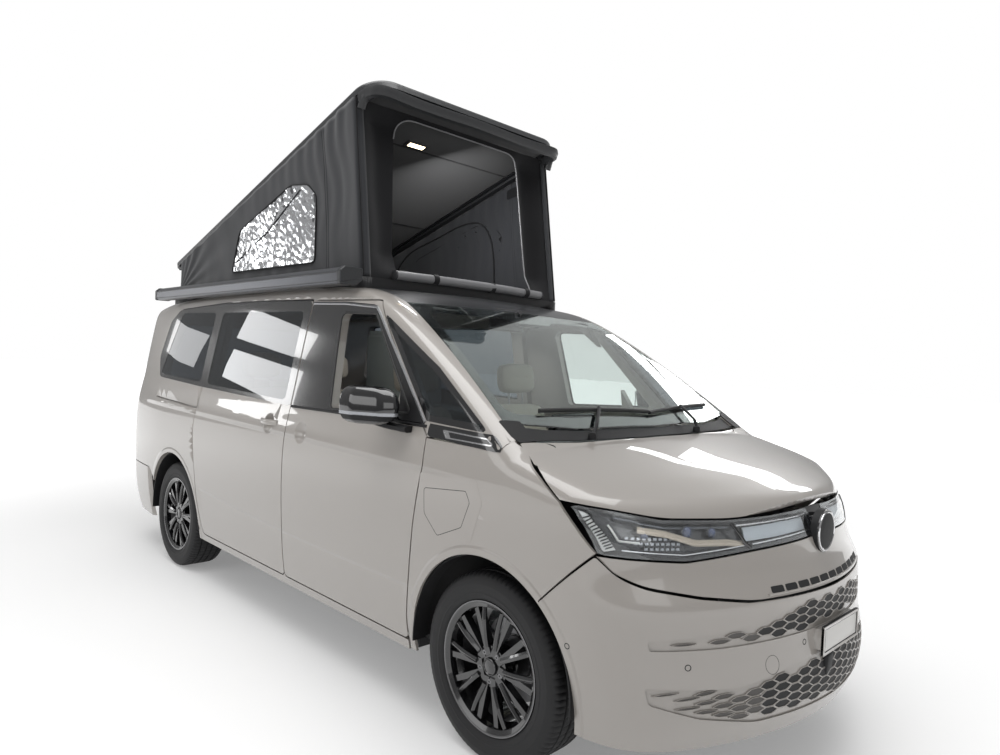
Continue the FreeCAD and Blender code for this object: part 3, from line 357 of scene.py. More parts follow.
def calc(group, kind, a, b=None, clamp=False):
    """a sum in a node tree, of numbers or outputs"""
    node = group.nodes.new("ShaderNodeMath")
    node.operation = kind
    node.use_clamp = clamp
    for i, value in enumerate((a, b)):
        if value is None:
            continue
        if isinstance(value, (int, float)):
            node.inputs[i].default_value = value
        else:
            group.links.new(value, node.inputs[i])
    return node.outputs[0]


def make_grain():
    """fine noise as colour change, roughness change and bump"""
    numbers = [(label, "NodeSocketFloat", value) for label, value in (
        ("Size", 400.0), ("Change", 0.1), ("Rough", 0.5), ("Bump", 0.1), ("Depth", 0.0003))]
    group, given, result = start_group("grain", [("Color", "NodeSocketColor", (0.5, 0.5, 0.5, 1)), *numbers],
            [("Color", "NodeSocketColor"), ("Rough", "NodeSocketFloat"), ("Normal", "NodeSocketVector")])
    spots, fine, wide = (group.nodes.new("ShaderNode" + kind) for kind in ("TexCoord", "TexNoise", "TexNoise"))
    fine.inputs["Detail"].default_value = 4
    wide.inputs["Scale"].default_value = 2.4
    wide.inputs["Detail"].default_value = 5
    join(group, (spots.outputs["Object"], fine.inputs["Vector"]), (spots.outputs["Object"], wide.inputs["Vector"]),
         (given.outputs["Size"], fine.inputs["Scale"]))
    both = calc(group, "ADD", fine.outputs["Fac"], wide.outputs["Fac"])
    swing = calc(group, "MULTIPLY", calc(group, "SUBTRACT", both, 1.0), given.outputs["Change"])
    bright = calc(group, "ADD", swing, 1.0)
    colour = group.nodes.new("ShaderNodeMixRGB")
    colour.blend_type = "MULTIPLY"
    colour.inputs[0].default_value = 1
    rough = calc(group, "ADD", given.outputs["Rough"], calc(group, "MULTIPLY", swing, 0.5), clamp=True)
    bump = group.nodes.new("ShaderNodeBump")
    join(group, (given.outputs["Color"], colour.inputs[1]), (bright, colour.inputs[2]),
         (colour.outputs[0], result.inputs["Color"]), (rough, result.inputs["Rough"]),
         (fine.outputs["Fac"], bump.inputs["Height"]), (given.outputs["Bump"], bump.inputs["Strength"]),
         (given.outputs["Depth"], bump.inputs["Distance"]), (bump.outputs[0], result.inputs["Normal"]))
    return group


grain = make_grain()


def surface(name, colour, rough, size, change, bump, depth=0.0003, metal=0.0, coat=0.0, coat_rough=0.03, level=0.5,
            sheen=0.0, glow=None):
    """an opaque finish with its own grain"""
    material, tree, shader = new_material(name, Metallic=metal, Coat_Weight=coat, Coat_Roughness=coat_rough,
            Specular_IOR_Level=level, Sheen_Weight=sheen)
    node = group_node(tree, grain, Color=(*colour, 1), Size=size, Change=change, Rough=rough, Bump=bump, Depth=depth)
    join(tree, (node.outputs["Color"], shader.inputs["Base Color"]),
         (node.outputs["Rough"], shader.inputs["Roughness"]), (node.outputs["Normal"], shader.inputs["Normal"]))
    if glow:
        shader.inputs["Emission Color"].default_value = (*glow, 1)
        shader.inputs["Emission Strength"].default_value = 6.0
    return material


def glass(name, colour):
    """glass that lets lamps shine through it"""
    material, tree, shader = new_material(name, Transmission_Weight=1.0, IOR=1.45, Roughness=0.0)
    node = group_node(tree, grain, Color=(*colour, 1), Size=3.0, Change=0.04, Rough=0.0, Bump=0.0, Depth=0.0001)
    tree.nodes.remove(tree.nodes["Material Output"])
    out, mix, film, rays = (tree.nodes.new("ShaderNode" + kind) for kind in (
        "OutputMaterial", "MixShader", "BsdfTransparent", "LightPath"))
    film.inputs["Color"].default_value = (*colour, 1)
    join(tree, (node.outputs["Color"], shader.inputs["Base Color"]), (rays.outputs["Is Shadow Ray"], mix.inputs[0]),
         (shader.outputs[0], mix.inputs[1]), (film.outputs[0], mix.inputs[2]),
         (mix.outputs[0], out.inputs["Surface"]))
    return material


finishes = {}
for name, slot, colour, rough, size, change, bump, more in (
        ("body_paint", "body_paint", (0.318, 0.296, 0.274), 0.34, 900, 0.012, 0.02,
         {"depth": 0.0001, "coat": 1.0, "coat_rough": 0.02}),
        ("roof_paint", "body_paint", (0.018, 0.019, 0.021), 0.32, 500, 0.08, 0.05, {"coat": 0.4, "coat_rough": 0.15}),
        ("gloss_black", "gloss_black", (0.004, 0.004, 0.005), 0.12, 300, 0.05, 0.0,
         {"coat": 1.0, "coat_rough": 0.02}),
        ("trim_black", "black_trim", (0.008, 0.008, 0.009), 0.5, 1400, 0.2, 0.35, {"level": 0.3}),
        ("chassis", None, (0.035, 0.036, 0.038), 0.65, 120, 0.35, 0.3, {"depth": 0.0008}),
        ("red_lens", "red_lens", (0.11, 0.006, 0.01), 0.12, 200, 0.15, 0.02, {"coat": 1.0}),
        ("rubber", "tyre_rubber", (0.014, 0.014, 0.015), 0.6, 260, 0.25, 0.15, {"level": 0.35, "depth": 0.0006}),
        ("wheel_black", "wheel_paint", (0.008, 0.008, 0.009), 0.22, 400, 0.1, 0.02,
         {"coat": 1.0, "coat_rough": 0.05}),
        ("steel", "hinge_steel", (0.32, 0.32, 0.33), 0.34, 220, 0.2, 0.1, {"metal": 1.0}),
        ("dark_aluminium", "cabin_plastic", (0.10, 0.104, 0.115), 0.33, 600, 0.08, 0.04, {"metal": 0.85}),
        ("tent_cloth", "tent_cloth", (0.018, 0.019, 0.022), 0.82, 900, 0.3, 0.4,
         {"level": 0.25, "depth": 0.0006, "sheen": 0.25}),
        ("seat_cloth", "seat_cloth", (0.42, 0.385, 0.33), 0.78, 700, 0.12, 0.3, {"depth": 0.0006, "sheen": 0.2}),
        ("cabin_black", "cabin_plastic", (0.022, 0.022, 0.024), 0.6, 900, 0.2, 0.3, {}),
        ("board", "cabinet_board", (0.23, 0.25, 0.24), 0.42, 300, 0.06, 0.06, {}),
        ("satin_strip", "dark_aluminium", (0.30, 0.30, 0.31), 0.28, 600, 0.05, 0.03, {"metal": 0.9}),
        ("bright_metal", "lamp_lens", (0.62, 0.62, 0.63), 0.12, 300, 0.05, 0.0, {"metal": 1.0}),
        ("rubber_seal", "black_trim", (0.012, 0.012, 0.012), 0.55, 700, 0.2, 0.1, {}),
        ("cowl_plastic", "black_trim", (0.012, 0.012, 0.013), 0.6, 1100, 0.25, 0.4, {"level": 0.3, "depth": 0.0004}),
        ("tent_black", "black_trim", (0.005, 0.005, 0.006), 0.75, 900, 0.3, 0.4,
         {"level": 0.2, "depth": 0.0005, "sheen": 0.1}),
        ("lining_grey", "tent_cloth", (0.024, 0.024, 0.025), 0.8, 1200, 0.2, 0.3, {"depth": 0.0004, "sheen": 0.15}),
        ("piping_grey", "tent_cloth", (0.14, 0.14, 0.145), 0.45, 700, 0.12, 0.15, {}),
        ("window_foil", "tent_cloth", (0.72, 0.73, 0.75), 0.16, 40, 0.15, 0.25, {"depth": 0.002, "metal": 1.0}),
        ("gasket_rubber", "black_trim", (0.014, 0.0145, 0.016), 0.5, 500, 0.2, 0.15, {"depth": 0.0005}),
        ("warm_light", "lamp_lens", (0.9, 0.8, 0.6), 0.4, 200, 0.02, 0.0, {"glow": (1.0, 0.82, 0.55)}),
        ("grille_dark", "black_trim", (0.006, 0.006, 0.007), 0.6, 600, 0.2, 0.1, {}),
        ("slit_shadow", "black_trim", (0.075, 0.07, 0.066), 0.5, 600, 0.1, 0.05, {}),
        ("plate_pale", "body_paint", (0.60, 0.59, 0.57), 0.35, 500, 0.03, 0.03, {}),
        ("lamp_dark", "gloss_black", (0.016, 0.017, 0.02), 0.25, 300, 0.1, 0.03, {"coat": 0.6}),
        ("lamp_dark_metal", "lamp_lens", (0.10, 0.105, 0.115), 0.22, 300, 0.1, 0.02, {"metal": 1.0}),
        ("lamp_white", "lamp_lens", (0.62, 0.62, 0.60), 0.3, 500, 0.04, 0.02, {"coat": 0.5}),
        ("lamp_cell_grey", "lamp_lens", (0.34, 0.35, 0.37), 0.25, 500, 0.1, 0.02, {"metal": 0.8}),
        ("champagne", "lamp_lens", (0.40, 0.35, 0.29), 0.22, 400, 0.08, 0.02, {"metal": 0.9}),
        ("bar_grey", "lamp_lens", (0.42, 0.45, 0.48), 0.3, 220, 0.15, 0.05, {"metal": 0.5}),
        ("projector_blue", "lamp_lens", (0.03, 0.045, 0.10), 0.06, 200, 0.1, 0.0, {"coat": 1.0}),
        ("mirror_face", "gloss_black", (0.75, 0.76, 0.78), 0.03, 200, 0.01, 0.0, {"metal": 1.0}),
        ("rim_line", "wheel_paint", (0.20, 0.20, 0.205), 0.2, 300, 0.05, 0.0, {"metal": 0.8}),
        ("awning_black", "dark_aluminium", (0.02, 0.021, 0.023), 0.4, 600, 0.15, 0.1, {}),
        # the floor: its colour here, with a painted glow added by glow_far
        ("floor_tone", None, (0.80, 0.80, 0.80), 0.55, 60, 0.01, 0.0, {"level": 0.2})):
    finishes[name] = surface(name, colour, rough, size, change, bump, **more)
for name, colour in (
        ("clear_glass", (0.80, 0.86, 0.84)),
        ("privacy_glass", (0.10, 0.115, 0.13)),
        ("lens", (0.93, 0.95, 0.96))):
    finishes[name] = glass(name, colour)


def make_pressings():
    """pressed lines in the side panels, as a height in metres: ledge under the windows, sill line and arch lips"""
    group, given, result = start_group("pressings", [], [("Height", "NodeSocketFloat")])
    spots = group.nodes.new("ShaderNodeTexCoord")
    apart = group.nodes.new("ShaderNodeSeparateXYZ")
    join(group, (spots.outputs["Object"], apart.inputs[0]))
    u = calc(group, "SUBTRACT", apart.outputs["X"], axle_ahead * mm)
    z = apart.outputs["Z"]

    def rise(value, low, high):
        node = group.nodes.new("ShaderNodeMapRange")
        node.interpolation_type = "SMOOTHSTEP"
        node.inputs["From Min"].default_value = low
        node.inputs["From Max"].default_value = high
        group.links.new(value, node.inputs["Value"])
        return node.outputs["Result"]

    def fall(value, low, high):
        return calc(group, "SUBTRACT", 1.0, rise(value, low, high))

    def product(*values):
        total = values[0]
        for value in values[1:]:
            total = calc(group, "MULTIPLY", total, value)
        return total

    side = rise(calc(group, "ABSOLUTE", apart.outputs["Y"]), 0.80, 0.86)
    over_ledge = calc(group, "SUBTRACT", z, calc(group, "ADD", calc(group, "MULTIPLY", u, -0.0147), 1.0288))
    ledge = product(rise(over_ledge, 0.0, 0.03), fall(over_ledge, 0.035, 0.16), fall(u, -0.40, -0.08),
            rise(u, -3.8, -3.5), 0.008)
    behind = calc(group, "MAXIMUM", calc(group, "SUBTRACT", calc(group, "MULTIPLY", u, -1.0), 1.0), 0.0)
    over_sill = calc(group, "SUBTRACT", z, calc(group, "ADD", product(behind, behind, 0.02), 0.557))
    sill = product(fall(over_sill, -0.014, 0.008), rise(z, 0.34, 0.50), rise(u, -2.78, -2.6), fall(u, -0.50, -0.40),
            -0.006)
    lips = []
    for centre in (0.0, wheel_base * mm):
        across = calc(group, "ADD", u, centre)
        high = calc(group, "SUBTRACT", z, 0.355)
        far = calc(group, "SQRT", calc(group, "ADD", product(across, across), product(high, high)))
        lips.append(product(fall(far, 0.447, 0.462), 0.004))
    total = calc(group, "ADD", calc(group, "ADD", ledge, sill), calc(group, "ADD", *lips))
    join(group, (calc(group, "MULTIPLY", total, side), result.inputs["Height"]))
    return group


def press(material):
    """the pressings as bump under the paint and its coat"""
    tree = material.node_tree
    shader = tree.nodes["Principled BSDF"]
    pressed = group_node(tree, make_pressings())
    bump = tree.nodes.new("ShaderNodeBump")
    bump.inputs["Distance"].default_value = 1.0
    bump.inputs["Strength"].default_value = 1.0
    before = shader.inputs["Normal"].links[0].from_socket
    join(tree, (before, bump.inputs["Normal"]), (pressed.outputs["Height"], bump.inputs["Height"]),
         (bump.outputs[0], shader.inputs["Normal"]), (bump.outputs[0], shader.inputs["Coat Normal"]))


def glow_far(material):
    """the floor glows more with distance, painted light that runs it into the white behind it"""
    tree = material.node_tree
    shader = tree.nodes["Principled BSDF"]
    spots, length, fade = (tree.nodes.new("ShaderNode" + kind) for kind in ("TexCoord", "VectorMath", "MapRange"))
    length.operation = "LENGTH"
    fade.interpolation_type = "SMOOTHSTEP"
    for key, value in (("From Min", 3.0), ("From Max", white_beyond), ("To Min", 0.22), ("To Max", 0.9)):
        fade.inputs[key].default_value = value
    join(tree, (spots.outputs["Object"], length.inputs[0]), (length.outputs["Value"], fade.inputs["Value"]),
         (fade.outputs["Result"], shader.inputs["Emission Strength"]))
    shader.inputs["Emission Color"].default_value = (1, 1, 1, 1)


press(finishes["body_paint"])
glow_far(finishes["floor_tone"])

# Panels and rigid pieces from the frame

for name, node, finish in (
        ("side_walls", "body_sides", "body_paint"),
        ("right_door", "front_door_right", "body_paint"),
        ("left_door", "front_door_left", "body_paint"),
        ("side_doors", "sliding_doors", "body_paint"),
        ("fenders", "front_fenders", "body_paint"),
        ("hood", "bonnet", "body_paint"),
        ("nose", "nose_panel", "body_paint"),
        ("front_bar", "front_bumper", "body_paint"),
        ("rear_bar", "rear_bumper", "body_paint"),
        ("rear_gate", "tailgate", "body_paint"),
        ("roof_skin", "roof_panel", "roof_paint"),
        ("roof_ring", "roof_frame", "trim_black"),
        ("screen", "windscreen", "clear_glass"),
        ("gate_glass", "tailgate_glass", "privacy_glass"),
        ("dark_panes", "side_glass", "privacy_glass"),
        ("left_door_glass", "front_door_glass_left", "clear_glass"),
        ("rear_lamps", "tail_lamps", "red_lens"),
        ("grilles", "front_grilles", "body_paint")):
    panel(name, node, finish, reach=7.0 if "glass" in node or node == "windscreen" else 4.0)

for finish, plain_nodes in (
        ("chassis", ("floor_pan", "front_frame", "engine_block", "axles")),
        ("trim_black", ("arch_liners",)),
        ("steel", ("knuckle_right", "knuckle_left", "roof_arms")),
        ("gloss_black", ("front_badge",)),
        ("roof_paint", ("pop_roof_lid",)),
        ("dark_aluminium", ("awning",)),
        ("cabin_black", ("dashboard", "steering_wheel")),
        ("seat_cloth", ("seats",)),
        ("board", ("kitchen_unit",)),
        ("wheel_black", ("wheel_front_right", "wheel_rear_right", "wheel_front_left", "wheel_rear_left"))):
    for node in plain_nodes:
        nodes[node].data.materials.clear()
        nodes[node].data.materials.append(finishes[finish])

# Shapes for the fitted pieces, in millimetres ahead of the front axle, to the left and up


def piece(name, points, faces, angle=35):
    """a mesh object from points (u, y, z)"""
    mesh = bpy.data.meshes.new(name)
    spots = (np.asarray(points, float) + np.array([axle_ahead, 0, 0])) * mm
    mesh.from_pydata(spots.tolist(), [], [tuple(int(i) for i in face) for face in faces])
    mesh.validate()
    mesh.shade_smooth()
    mesh.set_sharp_from_angle(angle=math.radians(angle))
    made = bpy.data.objects.new(name, mesh)
    scene.collection.objects.link(made)
    return made


def mended(made, angle=35):
    """doubles merged and faces turned outwards"""
    work = bmesh.new()
    work.from_mesh(made.data)
    bmesh.ops.remove_doubles(work, verts=work.verts, dist=2e-5)
    bmesh.ops.recalc_face_normals(work, faces=work.faces)
    work.to_mesh(made.data)
    work.free()
    made.data.shade_smooth()
    made.data.set_sharp_from_angle(angle=math.radians(angle))
    return made


def finished(made, *modifiers):
    """modifiers given as (kind, settings), applied"""
    for kind, settings in modifiers:
        modifier = made.modifiers.new(kind.lower(), kind)
        for key, value in settings.items():
            setattr(modifier, key, value)
    mesh = bpy.data.meshes.new_from_object(made.evaluated_get(bpy.context.evaluated_depsgraph_get()))
    old = made.data
    made.modifiers.clear()
    made.data = mesh
    mesh.name = made.name
    bpy.data.meshes.remove(old)
    return made


def joined(name, makes):
    """several mesh objects as one"""
    points, faces = [], []
    for made in makes:
        faces += [tuple(i + len(points) for i in polygon.vertices) for polygon in made.data.polygons]
        points += [tuple(v.co) for v in made.data.vertices]
        drop(made)
    return piece(name, from_metres(points), faces)


def drop(item):
    """an object taken out again with its mesh"""
    mesh = item.data
    bpy.data.objects.remove(item)
    bpy.data.meshes.remove(mesh)


def other_side(made, name):
    """the same piece on the left side"""
    spots = from_metres([tuple(v.co) for v in made.data.vertices])
    return piece(name, spots * np.array([1, -1, 1]), [tuple(reversed(p.vertices)) for p in made.data.polygons])


def rounded(corners, steps=6):
    """an outline whose corners (x, y, radius) are rounded"""
    points = []
    count = len(corners)
    for i in range(count):
        here = np.array(corners[i][:2], float)
        radius = corners[i][2] if len(corners[i]) > 2 else 0
        if not radius:
            points.append(here)
            continue
        before = np.array(corners[i - 1][:2], float) - here
        after = np.array(corners[(i + 1) % count][:2], float) - here
        long_before, long_after = np.linalg.norm(before), np.linalg.norm(after)
        before, after = before / long_before, after / long_after
        half = math.acos(max(-1.0, min(1.0, float(before @ after)))) / 2
        reach = min(radius / math.tan(half), 0.48 * long_before, 0.48 * long_after)
        for step in range(steps + 1):
            t = step / steps
            points.append(here + before * reach * (1 - t) ** 2 + after * reach * t ** 2)
    return np.array(points)


def inset(outline, by):
    """an outline moved inwards"""
    outline = np.asarray(outline, float)
    before = np.roll(outline, 1, axis=0)
    after = np.roll(outline, -1, axis=0)
    way = after - before
    way /= np.maximum(np.linalg.norm(way, axis=1, keepdims=True), 1e-9)
    area = np.sum(outline[:, 0] * after[:, 1] - after[:, 0] * outline[:, 1])
    inward = np.stack([-way[:, 1], way[:, 0]], axis=1) * (1 if area > 0 else -1)
    return outline + inward * by


def spaced(path, step, closed=False):
    """points at even steps along a line"""
    path = np.asarray(path, float)
    if closed:
        path = np.vstack([path, path[:1]])
    run = np.concatenate([[0], np.cumsum(np.linalg.norm(np.diff(path, axis=0), axis=1))])
    count = max(2, int(round(run[-1] / step)) + 1)
    at = np.linspace(0, run[-1], count)
    out = np.stack([np.interp(at, run, path[:, k]) for k in range(path.shape[1])], axis=1)
    return out[:-1] if closed else out


def inside(points, outline):
    """which points lie inside an outline"""
    x, y = np.asarray(points, float).T
    hit = np.zeros(len(x), bool)
    for (x0, y0), (x1, y1) in zip(outline, np.roll(outline, -1, axis=0)):
        if y0 != y1:
            hit ^= ((y0 > y) != (y1 > y)) & (x < (x1 - x0) * (y - y0) / (y1 - y0) + x0)
    return hit


def leaving(points, start, way):
    """where lines from start spots leave the skin; None in start stands for a coordinate of the points"""
    points = np.asarray(points, float)
    rest = iter(points.T)
    starts = np.stack([np.full(len(points), fixed) if fixed is not None else next(rest) for fixed in start], axis=1)
    return skin_at(starts, np.tile(np.asarray(way, float), (len(points), 1)))


def on_side(points):
    """spots (u, z) on the right side"""
    return leaving(points, (None, 0.0, None), (0, -1, 0))


def on_top(points):
    """spots (u, y) on the bonnet, windscreen and roof"""
    return leaving(points, (None, None, 1000.0), (0, 0, 1))


def on_nose(points):
    """spots (y, z) on the front"""
    return leaving(points, (0.0, None, None), (1, 0, 0))


def on_tail(points):
    """spots (y, z) on the back"""
    return leaving(points, (-3300.0, None, None), (-1, 0, 0))


def patch(name, outline, onto, holes=(), grid=40, lift=1.5, thick=2.0, step=None, facing=None, smooth=True):
    """a thin piece that lies on the skin inside an outline, with holes in it"""
    loops = [spaced(loop, step or grid * 0.6, closed=True) if step != 0 else np.asarray(loop, float)
             for loop in (outline, *holes)]
    low, high = loops[0].min(axis=0), loops[0].max(axis=0)
    across, along = np.meshgrid(np.arange(low[0] + grid / 2, high[0], grid),
            np.arange(low[1] + grid / 2, high[1], grid))
    filling = np.stack([across.ravel(), along.ravel()], axis=1)
    keep_in = inside(filling, loops[0])
    for loop in loops:
        near = np.min(np.linalg.norm(filling[:, None, :] - loop[None, :, :], axis=2), axis=1)
        keep_in &= near > grid * 0.35
    for hole in loops[1:]:
        keep_in &= ~inside(filling, hole)
    points, edges = [], []
    for loop in loops:
        first = len(points)
        points += [Vector(p) for p in loop]
        edges += [(first + i, first + (i + 1) % len(loop)) for i in range(len(loop))]
    points += [Vector(p) for p in filling[keep_in]]
    flat, _, faces, *_ = delaunay_2d_cdt(points, edges, [], 0, 1e-4)
    flat = np.array([tuple(p) for p in flat])
    faces = np.array([tuple(face) for face in faces if len(face) == 3])
    middle = flat[faces].mean(axis=1)
    good = inside(middle, loops[0])
    for hole in loops[1:]:
        good &= ~inside(middle, hole)
    faces = faces[good]
    base = onto(flat)
    out = skin_normals(base) if facing is None else np.tile(facing, (len(base), 1))
    a, b, c = base[faces[:, 0]], base[faces[:, 1]], base[faces[:, 2]]
    turned = np.einsum("ij,ij->i", np.cross(b - a, c - a), out[faces[:, 0]]) < 0
    faces[turned] = faces[turned][:, ::-1]
    count = len(base)
    rim = {(face[i], face[(i + 1) % 3]): True for face in faces for i in range(3)}
    solid = [tuple(face) for face in faces] + [tuple(face[::-1] + count) for face in faces]
    solid += [(p, p + count, q + count, q) for p, q in rim if (q, p) not in rim]
    made = piece(name, np.vstack([base + out * lift, base + out * (lift - thick)]), solid, angle=50)
    if facing is not None or not smooth:
        return made
    mesh = made.data
    corner = np.empty(len(mesh.loops) * 3, np.float32)
    mesh.corner_normals.foreach_get("vector", corner)
    corner = corner.reshape(-1, 3)
    owner = np.empty(len(mesh.loops), np.int32)
    mesh.loops.foreach_get("vertex_index", owner)
    top = np.arange(len(mesh.loops)) < 3 * len(faces)
    corner[top] = out[owner[top] % count]
    mesh.normals_split_custom_set(corner.tolist())
    return made


def frames_along(path, up, closed=False):
    """the way along, the way across and the way up at each point of a path"""
    path = np.asarray(path, float)
    if closed:
        way = np.roll(path, -1, axis=0) - np.roll(path, 1, axis=0)
    else:
        way = np.gradient(path, axis=0)
    way /= np.maximum(np.linalg.norm(way, axis=1, keepdims=True), 1e-9)
    up = np.broadcast_to(np.asarray(up, float), path.shape)
    across = np.cross(way, up)
    across /= np.maximum(np.linalg.norm(across, axis=1, keepdims=True), 1e-9)
    return way, across, np.cross(across, way)


def swept(name, path, profile, up=(0, 0, 1), closed=False, angle=35):
    """a profile (across, up) carried along a path"""
    path = np.asarray(path, float)
    way, across, over = frames_along(path, up, closed)
    profile = np.asarray(profile, float)
    count, wide = len(path), len(profile)
    points = (path[:, None, :] + across[:, None, :] * profile[None, :, :1] + over[:, None, :] * profile[None, :, 1:])
    faces = grid_faces(count, wide, round_rows=closed)
    if not closed:
        faces += [tuple(range(wide))[::-1], tuple((count - 1) * wide + k for k in range(wide))]
    return mended(piece(name, points.reshape(-1, 3), faces), angle)


def round_profile(radius, sides=12, flat=1.0):
    """a round section, or an oval one"""
    return circle(sides) * (radius, radius * flat)


def bent(points, count=24):
    """a smooth line through points"""
    points = np.asarray(points, float)
    run = np.concatenate([[0], np.cumsum(np.linalg.norm(np.diff(points, axis=0), axis=1))])
    curves = [Line(*zip(run, points[:, k])) for k in range(points.shape[1])]
    at = np.linspace(0, run[-1], count)
    return np.stack([curve(at) for curve in curves], axis=1)


def block(name, centre, size, radius=6, turns=(0, 0, 0), steps=3):
    """a block with rounded edges, turned about its middle by degrees about u, y and z"""
    work = bmesh.new()
    bmesh.ops.create_cube(work, size=1.0)
    bmesh.ops.scale(work, vec=Vector(size), verts=work.verts)
    bmesh.ops.bevel(work, geom=list(work.edges), offset=radius, segments=steps, profile=0.5, affect="EDGES")
    spin = Matrix.Identity(4)
    for degrees, axis in zip(turns, "XYZ"):
        spin = Matrix.Rotation(math.radians(degrees), 4, axis) @ spin
    points = [tuple(Vector(centre) + spin @ v.co) for v in work.verts]
    faces = [tuple(v.index for v in face.verts) for face in work.faces]
    work.free()
    return piece(name, points, faces)


def turned(name, profile, centre, axis="y", steps=48):
    """a profile (radius, along) turned about an axis through a centre"""
    profile = np.asarray(profile, float)
    spin = np.linspace(0, 2 * math.pi, steps, endpoint=False)
    rings = []
    for angle in spin:
        c, s = profile[:, 0] * math.cos(angle), profile[:, 0] * math.sin(angle)
        along = profile[:, 1]
        rings.append(np.stack({"y": (c, along, s), "z": (c, s, along), "u": (along, c, s)}[axis], axis=1))
    points = np.vstack(rings) + np.asarray(centre, float)
    wide = len(profile)
    return mended(piece(name, points, grid_faces(steps, wide, round_rows=True, round_columns=False)), 30)


# Side glazing, door frames and trims


def pair(shape, name, finish, *given, slot=None, body="body", **more):
    """a right-hand piece from one of the shape functions, and its mirror image on the left"""
    right_piece = shape("right_" + name, *given, **more)
    left_piece = other_side(right_piece, "left_" + name)
    kept(right_piece, finish, body)
    kept(left_piece, finish, body.replace("door_right", "door_left"))
    return right_piece, left_piece


def skin_strip(name, path, onto, wide, thick, lift=0.0, step=25, closed=False):
    """a strip with a low crown laid along a line on the skin"""
    flat = spaced(path, step, closed)
    spots = onto(flat)
    out = skin_normals(spots)
    half = wide / 2
    profile = [(-half, lift), (half, lift), (half, lift + thick * 0.55), (half * 0.6, lift + thick * 0.92),
               (0, lift + thick), (-half * 0.6, lift + thick * 0.92), (-half, lift + thick * 0.55)]
    return swept(name, spots, profile, up=out, closed=closed, angle=50)


band_line = rounded([(-1558, 1219, 6), (-2048, 1234), (-2792, 1254), (-3560, 1284, 60), (-3658, 1424, 60),
        (-3590, 1690, 60), (-3450, 1773, 80), (-2688, 1797), (-2068, 1792), (-1558, 1779, 6)])
front_pane_line = rounded([(-1620, 1236, 30), (-2690, 1268, 30), (-2690, 1748, 40), (-1620, 1736, 40)])
rear_pane_line = rounded([(-2785, 1272, 30), (-3560, 1300, 30), (-3380, 1758, 60), (-2785, 1750, 40)])
pair(patch, "glass_band", "gloss_black", band_line, on_side, holes=(inset(front_pane_line, 8),
        inset(rear_pane_line, 8)), grid=60, lift=1.2, thick=1.0)
pair(skin_strip, "roof_seal", "trim_black", [(-3400, 1776), (-2688, 1801), (-2068, 1797), (-1558, 1784)], on_side, 9,
     3)
door_top = rounded([(-1546, 1224, 4), (-1546, 1777, 10), (-1222, 1768), (-950, 1746, 40), (-640, 1462),
        (-404, 1228, 4)])
window_line = rounded([(-520, 1262, 12), (-1165, 1232, 30), (-1240, 1716, 40), (-930, 1704, 30)])
pair(patch, "door_frame_trim", "gloss_black", door_top, on_side, holes=(inset(window_line, 1),), grid=55, lift=1.2,
     thick=1.0, body="door_right")
pair(skin_strip, "divider_strip", "satin_strip", [(-1540, 1768), (-1222, 1758), (-944, 1734), (-900, 1700),
        (-636, 1452), (-420, 1238)], on_side, 13, 5, lift=0.8, body="door_right")
pair(skin_strip, "window_seal", "rubber_seal", inset(window_line, 3), on_side, 11, 5, lift=0.5, closed=True,
     body="door_right")
pair(skin_strip, "waist_seal", "trim_black", [(-1546, 1219), (-1160, 1222), (-700, 1224), (-404, 1222)], on_side, 13,
     5, body="door_right")
sail_line = rounded([(-652, 1462, 4), (-412, 1234, 4), (-600, 1232, 4)])
pair(patch, "mirror_sail", "trim_black", sail_line, on_side, grid=45, lift=3.0, thick=3.0, body="door_right")
quarter_line = rounded([(-880, 1712, 10), (-412, 1244, 10), (-40, 1230, 12), (-205, 1338), (-400, 1466)])
pair(patch, "quarter_border", "gloss_black", quarter_line, on_side, holes=(inset(quarter_line, 26),), grid=40,
     lift=1.0, thick=1.0, step=14)
foot_line = rounded([(-388, 1236, 4), (-388, 1184, 4), (38, 1166, 10), (44, 1184, 8), (-14, 1226, 8)])
pair(patch, "pillar_foot_trim", "gloss_black", foot_line, on_side, grid=40, lift=1.6, thick=1.6)
plaque_line = rounded([(-298, 1219, 5), (-36, 1211, 8), (8, 1184, 8), (-268, 1187, 5)])
pair(patch, "plaque_frame", "bright_metal", plaque_line, on_side, holes=(inset(plaque_line, 5),), grid=40, lift=4.2,
     thick=3.0, step=8, slot="dark_aluminium")
pair(patch, "plaque_face", "gloss_black", inset(plaque_line, 5), on_side, grid=30, lift=3.0, thick=1.6, step=12)
pair(patch, "plaque_end", "bright_metal", rounded([(-296, 1216, 4), (-262, 1215, 4), (-236, 1188, 4),
        (-266, 1189, 4)]), on_side, grid=20, lift=3.8, thick=1.0, step=8, slot="dark_aluminium")

# Windscreen border, cowl and wipers

screen_edge = rounded([(-30, -852), (47, -500, 300), (68, 0, 500), (47, 500, 300), (-30, 852), (-867, 712),
        (-842, 400, 300), (-835, 0, 500), (-842, -400, 300), (-867, -712)])
screen_clear = rounded([(-72, -800, 60), (-8, -480, 200), (8, 0, 500), (-8, 480, 200), (-72, 800, 60),
        (-770, 660, 60), (-748, 200, 60), (-700, 130, 40), (-700, -130, 40), (-748, -200, 60), (-770, -660, 60)])
kept(patch("screen_border", screen_edge, on_top, holes=(screen_clear,), grid=60, lift=-5.6, thick=0.5), "gloss_black")
cowl_front = [(52, -842), (74, -680), (90, -560), (106, -350), (114, -150), (114, 150), (106, 350), (90, 560),
              (74, 680), (52, 842)]
cowl_back = [(-26, 858), (22, 680), (50, 500), (64, 250), (70, 0), (64, -250), (50, -500), (22, -680), (-26, -858)]
kept(patch("cowl_cover", cowl_front + cowl_back, on_top, grid=40, lift=-9.0, thick=3.0), "cowl_plastic")
